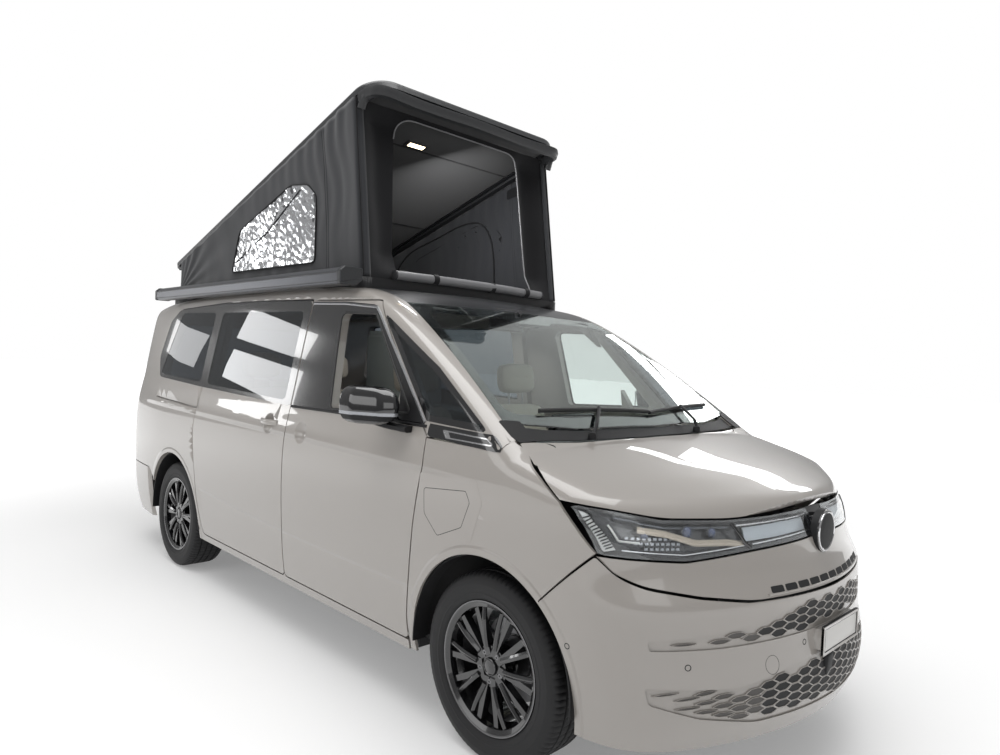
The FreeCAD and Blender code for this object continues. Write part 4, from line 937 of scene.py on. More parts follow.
for name, pivot, blade in (
        ("right", (96, -470), ((-52, -640), (-2, 60))),
        ("left", (104, 330), ((4, 60), (-70, 690)))):
    blade_path = on_top(spaced(blade, 40))
    blade_up = skin_normals(blade_path)
    kept(swept(name + "_wiper_blade", blade_path + blade_up * 10,
               [(-7, -2), (-2, -9.4), (2, -9.4), (7, -2), (9, 3), (3, 9), (-6, 8), (-9, 3)], up=blade_up),
         "rubber_seal")
    middle = (np.array(blade[0]) + np.array(blade[1])) / 2
    arm_path = bent(on_top([pivot, (np.array(pivot) * 0.6 + middle * 0.4), middle]), 18)
    arm_up = skin_normals(arm_path)
    arm_path += arm_up * np.interp(np.arange(18), [0, 5, 17], [10, 30, 24])[:, None]
    kept(swept(name + "_wiper_arm", arm_path, [(-8, -4), (8, -4), (7, 4), (0, 6), (-7, 4)], up=arm_up), "trim_black")
    kept(turned(name + "_wiper_pivot", [(0.1, 14), (13, 13), (17, 6), (18, -14), (0.1, -14)],
                on_top([pivot])[0] + np.array([0, 0, 8]), axis="z", steps=20), "trim_black")
kept(block("camera_housing", on_top([(-765, 0)])[0] - (0, 0, 22), (110, 150, 20), 8, (0, 24, 0)), "cabin_black")

# Roof tent: walls, front panel with its opening, windows and piping

lid_tilt = math.radians(lid_degrees)
lid_turn = (0, -lid_degrees, 0)


def on_lid(along, y, over):
    """a spot given along the lid from its rear hinge, across it and over its underside"""
    return np.array([-3780 + along * math.cos(lid_tilt) - over * math.sin(lid_tilt), y,
            2098 + along * math.sin(lid_tilt) + over * math.cos(lid_tilt)])


def lid_under(u):
    """the height of the lid's underside"""
    return 2140 + (u + 3700) * 0.3026


def cloth_top(u):
    """where cloth that stands at u on the roof meets the raised lid"""
    return -3702 + (u + 3706) * 2350 / 2497


def tent_cloth_piece(made, flat, finish, slot="tent_cloth", **more):
    """a piece of the tent, with its finish and its own mesh"""
    kept(made, finish)
    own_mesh(made)
    return made


def wall_folds(u, y, t):
    """how far the stretched cloth lies inside its flat wall"""
    run = (u + 3710) / 2500
    side = np.clip(np.minimum(run * 9, (1 - run) * 14), 0, 1) * (np.abs(y) > 700)
    sag = 16 * np.sin(math.pi * t) * side
    height = t * (250 + 700 * run)
    far = np.hypot(u + 3710, height)
    turn = np.arctan2(height, u + 3700)
    rear = 7 * np.exp(-far / 520) * np.sin(26 * turn + 0.004 * far) * np.clip(far / 60, 0, 1)
    far = np.hypot(u + 1330, (1 - t) * 940)
    front = 5 * np.exp(-far / 420) * np.sin(0.055 * (u + 1330) + 1.4 * np.sin(0.011 * (1 - t) * 940))
    soft = 2.4 * np.sin(u / 61 + 2.1 * np.sin(t * 3 + u / 410)) * np.sin(math.pi * t) * (0.4 + 0.6
            * np.sin(u / 530) ** 2)
    pull = 3.2 * np.exp(-t * 7) * np.sin(u / 33 + 1.3 * np.sin(u / 170)) + 2.2 * np.exp(-(1 - t) * 9) * np.sin(u / 41)
    back = 5 * np.sin(math.pi * t) * np.sin(y / 95) * (np.abs(y) <= 700)
    return sag + (rear + front + soft + pull) * side + back


def tent_walls():
    base = spaced(rounded([(-1209, 690), (-1207, tent_half, 45), (-3706, tent_half, 40), (-3706, -tent_half, 40),
            (-1207, -tent_half, 45), (-1209, -690)], 8), 13)
    way = np.gradient(base, axis=0)
    way /= np.linalg.norm(way, axis=1, keepdims=True)
    inward = np.stack([way[:, 1], -way[:, 0]], axis=1)
    inward *= np.sign(np.sum(inward * (np.array([-2450, 0]) - base), axis=1))[:, None]
    top_u = cloth_top(base[:, 0])
    rows = 44
    points = []
    for t in np.linspace(0, 1, rows):
        deep = wall_folds(base[:, 0], base[:, 1], np.full(len(base), t))
        u = base[:, 0] * (1 - t) + top_u * t + inward[:, 0] * deep
        y = base[:, 1] + inward[:, 1] * deep
        z = tent_foot * (1 - t) + (lid_under(top_u) - 2) * t
        points.append(np.stack([u, y, z], axis=1))
    made = mended(piece("tent_walls", np.vstack(points), grid_faces(rows, len(base), round_columns=False)), 60)
    return finished(made, ("SOLIDIFY", {"thickness": 0.0016, "offset": 0}))


tent_wall = tent_walls()
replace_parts(tent_wall, "tent_fabric")
tent_cloth_piece(tent_wall, (6.6, 0.95), "tent_cloth", area=4.05)
front_foot, front_top = (-1209, 1904), (-1352, 2853)
front_lean = (front_foot[0] - front_top[0]) / (front_top[1] - front_foot[1])


def on_front(points):
    """spots (y, z) on the tent's front panel, which is hollowed towards its middle"""
    points = np.asarray(points, float)
    y, z = points.T
    hollow = 62 * np.exp(-((np.abs(y) - 560) / 95) ** 2) * np.clip((z - 1930) / 120, 0, 1) * np.clip((2850 - z) / 90,
            0, 1)
    wave = 3.5 * np.sin(z / 70 + np.sign(y)) * np.exp(-((np.abs(y) - 610) / 80) ** 2)
    return np.stack([front_foot[0] - (z - front_foot[1]) * front_lean - hollow - wave, y, z], axis=1)


front_facing = np.array([math.cos(math.atan(front_lean)), 0, math.sin(math.atan(front_lean))])
front_outline = rounded([(-735, 1907, 6), (735, 1907, 6), (735, 2846, 6), (-735, 2846, 6)], 3)
opening_line = rounded([(-520, 1940, 14), (520, 1940, 14), (476, 2815, 130), (-476, 2815, 130)], 10)
front_cloth = patch("tent_front", front_outline, on_front, holes=(opening_line,), grid=22, lift=0.8, thick=1.6,
        step=12, facing=front_facing)
tent_cloth_piece(front_cloth, (1.47, 0.95), "tent_black", area=0.56)


def tent_cord(name, path, radius, finish, step=16):
    """piping or a welted seam sewn to the tent"""
    return tent_cloth_piece(swept(name, spaced(path, step), round_profile(radius, 8), up=(0.3, 0.2, 1)), None, finish)


tent_cord("opening_piping", on_front(spaced(opening_line[2:], 14)) + front_facing * 4, 4.2, "piping_grey")
for side, name in hands:
    tent_cord(name + "_corner_welt", [(-1206, side * 735, 1910), (-1348, side * 735, 2846)], 4.5, "tent_black")
    rows = np.linspace(0.01, 0.99, 60)
    for place_u, label in ((-1556, "front_seam"), (-1536, "front_seam_pair")):
        top = cloth_top(place_u)
        deep = wall_folds(np.full(60, float(place_u)), np.full(60, float(tent_half)), rows)
        tent_cord(name + "_" + label, np.stack([place_u * (1 - rows) + top * rows, side * (tent_half + 0.5 - deep),
                tent_foot * (1 - rows) + lid_under(top) * rows], axis=1), 1.7, "tent_black", 14)
    hem = np.linspace(-3690, -1230, 120)
    tent_cord(name + "_hem", np.stack([hem, np.full(120, side * 746.0), np.full(120, 1909.0)], axis=1), 5,
              "tent_black", 40)

# Side windows of the tent, with the crumpled foil blind behind them

window_edge = rounded([(-2784, 2016, 30), (-1692, 2008, 30), (-1722, 2385, 60), (-1815, 2462, 120),
        (-2010, 2484, 120), (-2705, 2284, 120)], 8)


def on_wall(side, out=0.0):
    """spots (u, z) on a side wall of the tent as it hangs"""
    def spots(points):
        points = np.asarray(points, float)
        u, z = points.T
        top = lid_under(u)
        t = np.clip((z - tent_foot) / np.maximum(top - tent_foot, 1), 0, 1)
        return np.stack([u, side * (tent_half - wall_folds(u, np.full(len(u), float(tent_half)), t) + out), z],
                axis=1)
    return spots


def crumple(points):
    """sharp creases of crushed foil, in millimetres"""
    u, z = np.asarray(points, float).T
    high = np.zeros(len(u))
    dice = np.random.default_rng(7)
    for _ in range(46):
        turn, at, size = dice.uniform(0, math.pi), dice.uniform(-500, 500), dice.uniform(25, 90)
        across = (u + 2240) * math.cos(turn) + (z - 2240) * math.sin(turn) - at
        high += np.abs(((across / size + 0.5) % 1) - 0.5) * size * 0.028
    return high - high.mean()


for side, name in hands:
    facing = np.array([0.0, side, 0.0])
    foil_at = on_wall(side, 1.5)
    foil = patch(name + "_window_foil", inset(window_edge, 5),
                 lambda points, at=foil_at, way=facing: at(points) + way * (np.abs(crumple(points)) % 5)[:, None],
                 grid=14, lift=0.5, thick=1.0, step=10, facing=facing, smooth=False)
    foil.data.set_sharp_from_angle(angle=math.radians(9))
    tent_cloth_piece(foil, None, "window_foil")
    tent_cord(name + "_window_piping", on_wall(side, 4.0)(np.vstack([window_edge, window_edge[:1]])), 4.5,
              "tent_black", 14)
    tent_cord(name + "_window_strap", on_wall(side, 6.0)([(-2740, 2080), (-2300, 2240), (-1900, 2440)]), 3.2,
              "tent_black")
    arch = bent([(-2990, 2030), (-2900, 2262), (-2475, 2430), (-2096, 2512), (-1934, 2490), (-1831, 2380),
                 (-1782, 2142), (-1778, 2010)], 60)
    tent_cord(name + "_inner_arch", on_wall(side, -7.0)(arch), 6, "tent_black")
    mesh_line = rounded([(-1700, 2700, 18), (-1500, 2742, 18), (-1496, 2676, 18), (-1690, 2630, 18)])
    tent_cloth_piece(patch(name + "_vent_mesh", mesh_line, on_wall(side, -4.0), grid=30, lift=0.0, thick=1.0, step=14,
            facing=-facing), None, "tent_black")

# Lid: lining, light, front gasket and the rolled blind at the foot of the opening

lining = [on_lid(a, y, 24) for a in (60, 2610) for y in (-652, 652)]
kept(block("roof_lining", (lining[0] + lining[3]) / 2, (2540, 1296, 8), 3, lid_turn), "lining_grey", body="roof_lid")
for along in (1330, 2250):
    kept(block("lining_seam_%d" % along, on_lid(along, 0, 18), (14, 1290, 4), 1.5, lid_turn), "tent_black",
         body="roof_lid")
kept(block("roof_light_rim", on_lid(2295, -152, 17), (66, 150, 7), 3, lid_turn), "cabin_black", body="roof_lid")
kept(block("roof_light_lens", on_lid(2295, -152, 13), (34, 112, 4), 1.8, lid_turn), "warm_light", body="roof_lid")
lip = bent([on_lid(2560, -712, 6), on_lid(2668, -690, -6), on_lid(2684, -560, -10), on_lid(2688, 0, -12),
            on_lid(2684, 560, -10), on_lid(2668, 690, -6), on_lid(2560, 712, 6)], 70)
kept(swept("front_gasket", lip, [(-22, -30), (2, -38), (20, -26), (24, 0), (16, 24), (-10, 30), (-24, 14)],
           up=(0.2, 0, 1)), "gasket_rubber", body="roof_lid")
for side, name in hands:
    kept(swept(name + "_gasket_end", bent([on_lid(2640, side * 690, -8), on_lid(2600, side * 716, -22),
            on_lid(2562, side * 722, -62)], 14), round_profile(22, 12, 0.8), up=(1, 0, 0.3)), "gasket_rubber",
         body="roof_lid")
    rail = [on_lid(a, side * 700, 8) for a in (0, 2540)]
    kept(swept(name + "_lid_seal", spaced(rail, 120), [(-20, -10), (20, -10), (22, 2), (14, 12), (-14, 12),
            (-22, 2)]), "gasket_rubber", body="roof_lid")
roll_path = bent([(-1182, -560, 1930), (-1172, -200, 1934), (-1170, 200, 1935), (-1182, 560, 1931)], 60)
roll = kept(swept("blind_roll", roll_path, round_profile(25, 20)), "piping_grey")
blind_parts = [roll]
for at, label in ((130, "strap"), (-300, "second_strap"), (420, "third_strap")):
    strap = turned("blind_" + label, [(24, -16), (28.5, -16), (28.5, 16), (24, 16), (24, -16)], (-1173, at, 1934),
            "y", 28)
    blind_parts.append(kept(strap, "tent_black"))
for side, name in hands:
    cap = turned(name + "_blind_cap", [(0.1, -6), (18, -6), (27, -3), (27, 5), (0.1, 5)], (-1182, side * 562, 1930),
                 "y", 24)
    blind_parts.append(kept(cap, "cabin_black"))
for part in blind_parts:
    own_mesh(part)

# Repeats: one small item set on many points, each with its own turn and size


def make_repeat():
    """a geometry node group that sets one item on every point"""
    group = bpy.data.node_groups.new("repeat_on_points", "GeometryNodeTree")
    group.interface.new_socket("Points", in_out="INPUT", socket_type="NodeSocketGeometry")
    for label, kind in (("Item", "NodeSocketObject"), ("Scale", "NodeSocketFloat"), ("Finish", "NodeSocketMaterial")):
        group.interface.new_socket(label, in_out="INPUT", socket_type=kind)
    group.interface.new_socket("Made", in_out="OUTPUT", socket_type="NodeSocketGeometry")
    given, result = group.nodes.new("NodeGroupInput"), group.nodes.new("NodeGroupOutput")
    item = group.nodes.new("GeometryNodeObjectInfo")
    setting = group.nodes.new("GeometryNodeInstanceOnPoints")
    turn, size = (group.nodes.new("GeometryNodeInputNamedAttribute") for _ in range(2))
    for node, label in ((turn, "turn"), (size, "size")):
        node.data_type = "FLOAT_VECTOR"
        node.inputs["Name"].default_value = label
    rotation = group.nodes.new("FunctionNodeEulerToRotation")
    grow = group.nodes.new("ShaderNodeVectorMath")
    grow.operation = "SCALE"
    real = group.nodes.new("GeometryNodeRealizeInstances")
    finish = group.nodes.new("GeometryNodeSetMaterial")
    join(group, (given.outputs["Points"], setting.inputs["Points"]), (given.outputs["Item"], item.inputs["Object"]),
         (item.outputs["Geometry"], setting.inputs["Instance"]), (turn.outputs["Attribute"],
            rotation.inputs["Euler"]), (rotation.outputs["Rotation"], setting.inputs["Rotation"]),
         (size.outputs["Attribute"], grow.inputs[0]), (given.outputs["Scale"], grow.inputs["Scale"]),
         (grow.outputs["Vector"], setting.inputs["Scale"]), (setting.outputs["Instances"], real.inputs["Geometry"]),
         (real.outputs["Geometry"], finish.inputs["Geometry"]), (given.outputs["Finish"], finish.inputs["Material"]),
         (finish.outputs["Geometry"], result.inputs["Made"]))
    return group


repeat_group = make_repeat()


def repeats(name, item, spots, along, facing, sizes, finish):
    """copies of an item whose own X lies along a way and whose own Z faces out"""
    spots, along, facing = (np.asarray(v, float) for v in (spots, along, facing))
    facing = facing / np.linalg.norm(facing, axis=1, keepdims=True)
    along = along - facing * np.sum(along * facing, axis=1, keepdims=True)
    along /= np.linalg.norm(along, axis=1, keepdims=True)
    over = np.cross(facing, along)
    turns = [Matrix((a, o, f)).transposed().to_euler() for a, o, f in zip(along, over, facing)]
    mesh = bpy.data.meshes.new(name)
    mesh.from_pydata([tuple(place(*spot)) for spot in spots], [], [])
    for label, values in (("turn", [tuple(turn) for turn in turns]), ("size", sizes)):
        layer = mesh.attributes.new(label, "FLOAT_VECTOR", "POINT")
        layer.data.foreach_set("vector", np.asarray(values, np.float32).reshape(-1))
    made = bpy.data.objects.new(name, mesh)
    scene.collection.objects.link(made)
    modifier = made.modifiers.new("repeat", "NODES")
    modifier.node_group = repeat_group
    sockets = {s.name: s.identifier for s in repeat_group.interface.items_tree if s.in_out == "INPUT"}
    modifier[sockets["Item"]] = item
    modifier[sockets["Scale"]] = mm
    modifier[sockets["Finish"]] = finishes[finish]
    bpy.context.view_layer.update()
    baked = bpy.data.meshes.new_from_object(made.evaluated_get(bpy.context.evaluated_depsgraph_get()))
    made.modifiers.clear()
    made.data = baked
    baked.name = name
    return made


def item_mesh(name, points, faces):
    """a small item in its own millimetres, kept out of the picture"""
    mesh = bpy.data.meshes.new(name)
    mesh.from_pydata([tuple(float(c) for c in p) for p in points], [], faces)
    mesh.validate()
    return bpy.data.objects.new(name, mesh)


# Front grille bands: cells that are open at the middle and close to slits outwards

cell_shape = np.array([(45, 0), (32, 7.5), (18, 13.5), (-18, 13.5), (-32, 7.5), (-45, 0), (-32, -7.5), (-18, -13.5),
        (18, -13.5), (32, -7.5)])


def cell_items():
    """the raised rim of a cell and its floor"""
    count = len(cell_shape)
    rings = [(1.04, -6.5), (1.03, 0.4), (0.985, 0.6), (0.93, 0.3), (0.88, -0.8), (0.84, -6.5)]
    points = [(x * grow, y * grow, z) for grow, z in rings for x, y in cell_shape]
    rim = item_mesh("cell_rim", points, grid_faces(len(rings), count))
    floor = item_mesh("cell_floor", [(x * 0.9, y * 0.9, z) for z in (-2.6, -1.8) for x, y in cell_shape],
            [tuple(range(count))[::-1], tuple(range(count, 2 * count)), *grid_faces(2, count)])
    return rim, floor


upper_band = np.array([(-838, 634), (-828, 604), (-600, 598), (0, 604), (600, 598), (828, 604), (838, 634),
        (540, 655), (300, 698), (200, 712), (0, 716), (-200, 712), (-300, 698), (-540, 655)], float)
lower_band = np.array([(-846, 490), (-838, 438), (-692, 386), (-477, 341), (0, 335), (477, 341), (692, 386),
        (838, 438), (846, 490), (551, 468), (267, 507), (0, 524), (-267, 507), (-551, 468)], float)
rim_item, floor_item = cell_items()
for label, band, foot, curve in (
        ("upper", upper_band, 604, 0.2),
        ("lower", lower_band, 338, 1)):
    cells = []
    for row in range(18):
        for column in range(-20, 21):
            y = column * 122 + (row % 2) * 61
            z = foot + 15 + row * 14.5 + 2.5e-5 * y * y * curve
            shut = np.clip((abs(y) - 430) / 330, 0, 1)
            tall = 1 - 0.8 * shut
            corners = cell_shape * (1.06, 1.06 * tall) + (y, z)
            if inside(corners, inset(band, 3)).all():
                cells.append((y, z, tall, shut))
    cells = np.array(cells)
    spots = on_nose(cells[:, :2])
    out = skin_normals(spots)
    along = np.tile([0.0, 1.0, 0.0], (len(cells), 1))
    spots = spots - out * 1.2
    sizes = np.array([(1.0, tall, 1.0) for tall in cells[:, 2]])
    all_cells = np.full(len(cells), True)
    open_cells = cells[:, 3] < 0.16
    for kind, item, chosen, grow, finish in (
            ("cells", rim_item, all_cells, (1, 1, 1), "body_paint"),
            ("openings", floor_item, open_cells, (1, 1, 1), "grille_dark"),
            ("slits", floor_item, ~open_cells, (1, 0.9, 1), "slit_shadow")):
        kept(repeats("%s_grille_%s" % (label, kind), item, spots[chosen], along[chosen], out[chosen],
                     sizes[chosen] * grow, finish), finish)
drop(rim_item)
drop(floor_item)

# Slots under the badge, sensors, towing cover and number plate

for column in range(-5, 6):
    line = rounded([(column * 72 - 31, 754, 4), (column * 72 + 31, 754, 4), (column * 72 + 33, 775, 4),
            (column * 72 - 29, 775, 4)], 3)
    kept(patch("nose_slot_%d" % (column + 5), line, on_nose, grid=20, lift=0.5, thick=1.0, step=8), "grille_dark")
kept(skin_strip("slot_shelf", spaced([(-410, 751), (410, 751)], 20), on_nose, 7, 3.4), "body_paint")


def ring_patch(name, middle, onto, outer, inner, grid=6, lift=0.5, thick=1.0, step=3, sides=24):
    """a thin ring on the skin"""
    ring = circle(sides)
    return patch(name, ring * outer + middle, onto, holes=(ring * inner + middle,), grid=grid, lift=lift, thick=thick,
                 step=step)


for count, middle in enumerate([(-721, 549), (721, 549), (-232, 566), (232, 566)]):
    kept(ring_patch("sensor_ring_%d" % count, middle, on_nose, 10.5, 10.5 * 0.74), "grille_dark")
for side, name in hands:
    kept(ring_patch(name + "_tow_cover_gap", (side * 405, 520), on_nose, 31, 29.6, 12, 0.2, 0.6, 4, 40),
         "grille_dark")
pair(ring_patch, "flank_sensor", "grille_dark", (400, 573), on_side, 10.5, 7.8)


def plate_ring(name, half_out, low_out, high_out, wide, back, face):
    """a rectangular frame with a sunk middle"""
    outer = rounded([(-half_out, low_out, 5), (half_out, low_out, 5), (half_out, high_out, 5),
            (-half_out, high_out, 5)], 4)
    inner = inset(outer, wide)
    loops = [(outer, back), (outer, face - 1.2), (inset(outer, 1.2), face), (inset(inner, -1.0), face),
             (inner, face - 1.0), (inner, back)]
    points = [(u, y, z) for loop, u in loops for y, z in loop]
    return mended(piece(name, points, grid_faces(len(loops), len(outer), round_rows=True)))


kept(plate_ring("plate_frame", 166, 506, 614, 15, 920, 929.6), "trim_black")
kept(block("plate_face", (926.8, 0, 560), (2.6, 304, 80), 1.0), "plate_pale")
kept(block("radar_cover", (904, -88, 446), (44, 62, 118), 12, (0, 4, 0)), "trim_black")

# Badge: bare, with a thin ring

badge_middle = (856, 0, 920)
kept(turned("badge_disc", [(0.1, 6), (30, 5.4), (58, 3.6), (67, 1.5), (68, -2), (70, -3), (80, -3), (81.5, -8),
        (81.5, -30), (0.1, -30)], badge_middle, "u", 64), "cowl_plastic")
kept(turned("badge_ring", [(66, -3), (67, 2.6), (71, 4.6), (75, 2.6), (76, -3), (66, -3)], badge_middle, "u", 64),
     "bright_metal")

# Headlamps

lamp_line = rounded([(-947, 1043, 6), (-885, 1034), (-730, 1003), (-494, 995), (-300, 998), (-62, 1006, 4),
        (-62, 914, 4), (-438, 896), (-683, 875, 60), (-917, 894, 8)])
inner_line = rounded([(-942, 1035, 5), (-882, 1024), (-728, 993), (-494, 985), (-300, 988), (-84, 996, 4),
        (-84, 926, 4), (-438, 908), (-683, 885, 60), (-909, 899, 6)])


def lamp_patch(name, finish, lift, thick, grid=34, step=14, outline=lamp_line, **more):
    """a piece of both headlamps inside an outline"""
    return pair(patch, name, finish, outline, on_nose, grid=grid, lift=lift, thick=thick, step=step, **more)


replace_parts(lamp_patch("lamp_cover", "lens", 0.0, 2.4)[0], "headlamps")
lamp_patch("lamp_bowl", "lamp_dark", -36, 1.5)
lamp_patch("lamp_frame", "gloss_black", -3.0, 34, step=12, holes=(inner_line,))
lamp_patch("signal_strip", "lamp_white", -6, 8, grid=20, step=8,
           outline=[(-940, 1026), (-929, 1019), (-884, 912), (-909, 903)])
for label, finish, path, lift, wide, thick, step in (
        ("light_hook", "lamp_white", [(-892, 990), (-876, 941), (-822, 935)], -8, 7, 5, 6),
        ("lamp_swoosh", "champagne", [(-818, 978), (-730, 962), (-640, 930), (-520, 926), (-452, 916)], -14, 22, 8,
         12),
        ("lamp_foot_strip", "bright_metal", [(-870, 911), (-684, 894), (-440, 913)], -9, 5, 3, 12),
        ("lamp_brow", "lamp_dark_metal", [(-872, 1012), (-728, 985), (-500, 977)], -16, 9, 3, 12),
        ("lamp_divider", "gloss_black", [(-489, 986), (-452, 920), (-430, 903)], -2.4, 12, 5, 6),
        ("bar_top_strip", "bright_metal", [(-470, 978), (-300, 981), (-92, 988)], -6, 7, 3, 12),
        ("bar_foot_strip", "bright_metal", [(-420, 914), (-300, 921), (-92, 932)], -6, 6, 3, 12),
        ("light_bar", "bar_grey", [(-440, 948), (-300, 952), (-104, 960)], -20, 46, 5, 12)):
    pair(skin_strip, label, finish, path, on_nose, wide, thick, lift=lift, step=step)

six_sides = [(3, 2, 1, 0), (4, 5, 6, 7), *grid_faces(2, 4)]
rib_item = item_mesh("strip_rib", [(x, y, z) for z in (0, 2.2) for x, y in ((-15, -2.2), (11, -2.2), (15, 2.2),
        (-11, 2.2))], six_sides)
cell_item = item_mesh("lamp_cell", [(x, y, z) for z in (0, 5) for x, y in ((-6, -4), (6, -4), (6, 4), (-6, 4))],
        six_sides)
for side, name in hands:
    t = np.linspace(0.12, 0.93, 12)
    ribs = np.stack([-935 + t * 41, 1020 - t * 110], axis=1)
    cells = [(y, 951 - row * 17 - (y + 850) * 0.03)
             for row, (start, end) in enumerate(((-852, -700), (-830, -690), (-800, -690)))
             for y in np.arange(start, end, 17)]
    for label, item, places, deep, way, finish in (
            ("strip_ribs", rib_item, ribs, 6.4, (0.25, -side * 0.9, 0.25), "grille_dark"),
            ("lamp_cells", cell_item, cells, 24, (0.3, -side * 0.9, 0.0), "lamp_cell_grey")):
        spots = on_nose(np.array(places) * (-side, 1))
        out = skin_normals(spots)
        kept(repeats("%s_%s" % (name, label), item, spots - out * deep, [way] * len(spots), out, np.ones_like(spots),
                     finish), finish)
    for count, (y, z, radius) in enumerate(((-790, 962, 19), (-650, 962, 21), (-560, 957, 17))):
        middle = on_nose([(-side * y, z)])[0]
        out = skin_normals(middle[None])[0]
        aim = Vector((1, 0, 0)).rotation_difference(Vector((0.95, out[1] * 0.4, 0)).normalized())
        for label, finish, profile in (
                ("", "projector_blue", [(0.1, -2), (radius * 0.5, -4), (radius * 0.85, -9), (radius, -15),
                 (radius + 1, -34), (0.1, -34)]),
                ("rim_", "lamp_dark_metal", [(radius + 1, -16), (radius + 4, -12), (radius + 6, -16),
                 (radius + 6, -34), (radius + 1, -34), (radius + 1, -16)])):
            made = turned("%s_projector_%s%d" % (name, label, count), profile, (0, 0, 0), "u", 28)
            for vertex in made.data.vertices:
                vertex.co = place(*(middle - out * 8)) + aim @ (vertex.co - place(0, 0, 0))
            kept(made, finish)
drop(rib_item)
drop(cell_item)

# Corners beside the cowl, and the panel behind the badge

pair(patch, "hood_corner", "body_paint", rounded([(64, -858, 4), (72, -800), (84, -742), (114, -700, 20),
        (138, -784, 30), (158, -850, 40), (200, -903, 4), (180, -902), (131, -875), (90, -865)]), on_top, grid=24,
     lift=-0.4, thick=3.0, step=12, body="bonnet_lid")
pair(patch, "cowl_corner", "cowl_plastic", rounded([(-48, -868, 4), (-24, -772, 4), (20, -775), (62, -786, 4),
        (68, -800), (62, -858, 4), (30, -870)]), on_top, grid=24, lift=1.0, thick=2.0, step=12)
kept(patch("badge_panel", rounded([(-66, 906, 4), (66, 906, 4), (66, 1008, 4), (-66, 1008, 4)]), on_nose, grid=24,
           lift=-2.0, thick=10, step=12), "gloss_black")

# Charge flap: the panel round it, its lid and the thin gap between them

flap_gap = rounded([(-359, 982, 14), (-107, 1007, 12), (-80, 966, 14), (-122, 864, 16), (-263, 804, 16),
        (-349, 879, 18)])
pair(patch, "flap_surround", "body_paint", rounded([(-388, 1040, 10), (-60, 1062, 30), (-14, 975, 40), (-66, 820, 40),
        (-262, 752, 40), (-400, 850, 10)]), on_side, holes=[flap_gap], grid=22, lift=0.45, thick=1.5, step=10)
pair(patch, "flap_lid", "body_paint", inset(flap_gap, 2.6), on_side, grid=22, lift=0.45, thick=2.5, step=10)
pair(skin_strip, "flap_shadow", "rubber_seal", inset(flap_gap, 1.3), on_side, 3.4, 1.0, lift=-0.5, step=8,
     closed=True)

# Mirrors

mirror_plan = rounded([(-520, -965, 40), (-560, -1052, 60), (-690, -1117, 70), (-775, -1120, 22), (-786, -1096, 22),
        (-672, -946, 30)], 7)
mirror_middle = np.array([-684.0, -1050.0])


def mirror_shell(name, low=-90, high=90, grow=1.0):
    """the mirror head, or a belt of it between two heights given as angles"""
    rings = []
    for angle in np.radians(np.linspace(low, high, 22)):
        size = max(math.cos(angle), 0.0) ** 0.42 * grow
        lean = np.array([-10.0, 6.0]) * math.sin(angle)
        outline = mirror_middle + (mirror_plan - mirror_middle) * size + lean
        rings.append(np.column_stack([outline, np.full(len(outline), 1293 + 80 * math.sin(angle) * grow)]))
    wide = len(mirror_plan)
    points = np.vstack(rings)
    faces = grid_faces(len(rings), wide)
    faces += [tuple(range(wide))[::-1], tuple(range(len(points) - wide, len(points)))]
    return mended(piece(name, points, faces), 50)


right_mirror, left_mirror = pair(mirror_shell, "mirror_shell", "gloss_black", body="door_right")
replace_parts(right_mirror, "mirror_right")
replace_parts(left_mirror, "mirror_left")
pair(mirror_shell, "mirror_skirt", "trim_black", -52, -30, 1.012, body="door_right")
strip = [(x, y, 1258.0) for x, y in (mirror_middle + (mirror_plan - mirror_middle) * 0.985)[4:26]]
pair(swept, "mirror_signal", "lamp_cell_grey", spaced(strip, 8), [(-3, -7), (1, -7), (2, 0), (1, 7), (-3, 7)],
     body="door_right")
pair(swept, "mirror_arm", "trim_black", bent([(-676, -1010, 1226), (-620, -985, 1214), (-560, -962, 1206),
        (-492, -948, 1202)], 24), [(-30, -8), (-16, -14), (16, -14), (30, -8), (30, 6), (16, 12), (-16, 12),
        (-30, 6)], body="door_right")
pair(block, "mirror_glass", "mirror_face", (-746, -1032, 1294), (5, 138, 112), 2.4, (0, 0, -37.1), body="door_right")

# Wheels and tyres

tyre_half = [(230, 97), (240, 99), (247, 101), (250, 104), (254, 110), (262, 113), (270, 115), (274, 116.6),
             (277, 115.4), (284, 116.6), (296, 117.4), (306, 117.2), (309, 117.5), (312, 116.6), (322, 114.6),
             (330, 111.4), (337, 107.8), (343, 104), (348, 98), (352, 90), (354, 80), (354.6, 67), (348, 65),
             (348, 58), (354.8, 56), (355, 26), (348, 24), (348, 15), (355, 13)]
tyre_line = [(r, -y) for r, y in tyre_half] + [(r, y) for r, y in reversed(tyre_half)] + [(236, 80), (300, 98),
        (338, 80), (338, -80), (300, -98), (236, -80)]


def tyre(name, u, side):
    """a tyre with cuts in its shoulders every 4 degrees and in its ribs every 6"""
    steps = 360
    line = np.array(tyre_line)
    y = line[:, 1]
    shoulder = (line[:, 0] > 341) & (np.abs(y) > 68) & (np.abs(y) < 106)
    rib = (line[:, 0] > 350) & (np.abs(y) < 60)
    points = []
    for step in range(steps):
        r = line[:, 0].copy()
        if step % 4 == 0:
            r[shoulder] -= 5.0
        if step % 6 == 0:
            r[rib] -= 2.5
        angle = 2 * math.pi * (step + 0.5) / steps
        points.append(np.stack([u + r * math.cos(angle), side * wheel_middle + y, tyre_radius + r * math.sin(angle)],
                axis=1))
    return mended(piece(name, np.vstack(points), grid_faces(steps, len(line), round_rows=True)), 40)


bolt_item = item_mesh("wheel_bolt", [(x * r, y * r, z) for r, z in ((12, 0), (12, 5), (9, 8), (4, 8), (3.5, 5))
        for x, y in circle(12)], grid_faces(5, 12) + [tuple(range(48, 60))])
spoke_shape = [(-11.5, -2), (11.5, -2), (10.5, 3), (2, 9), (-2, 9), (-10.5, 3)]


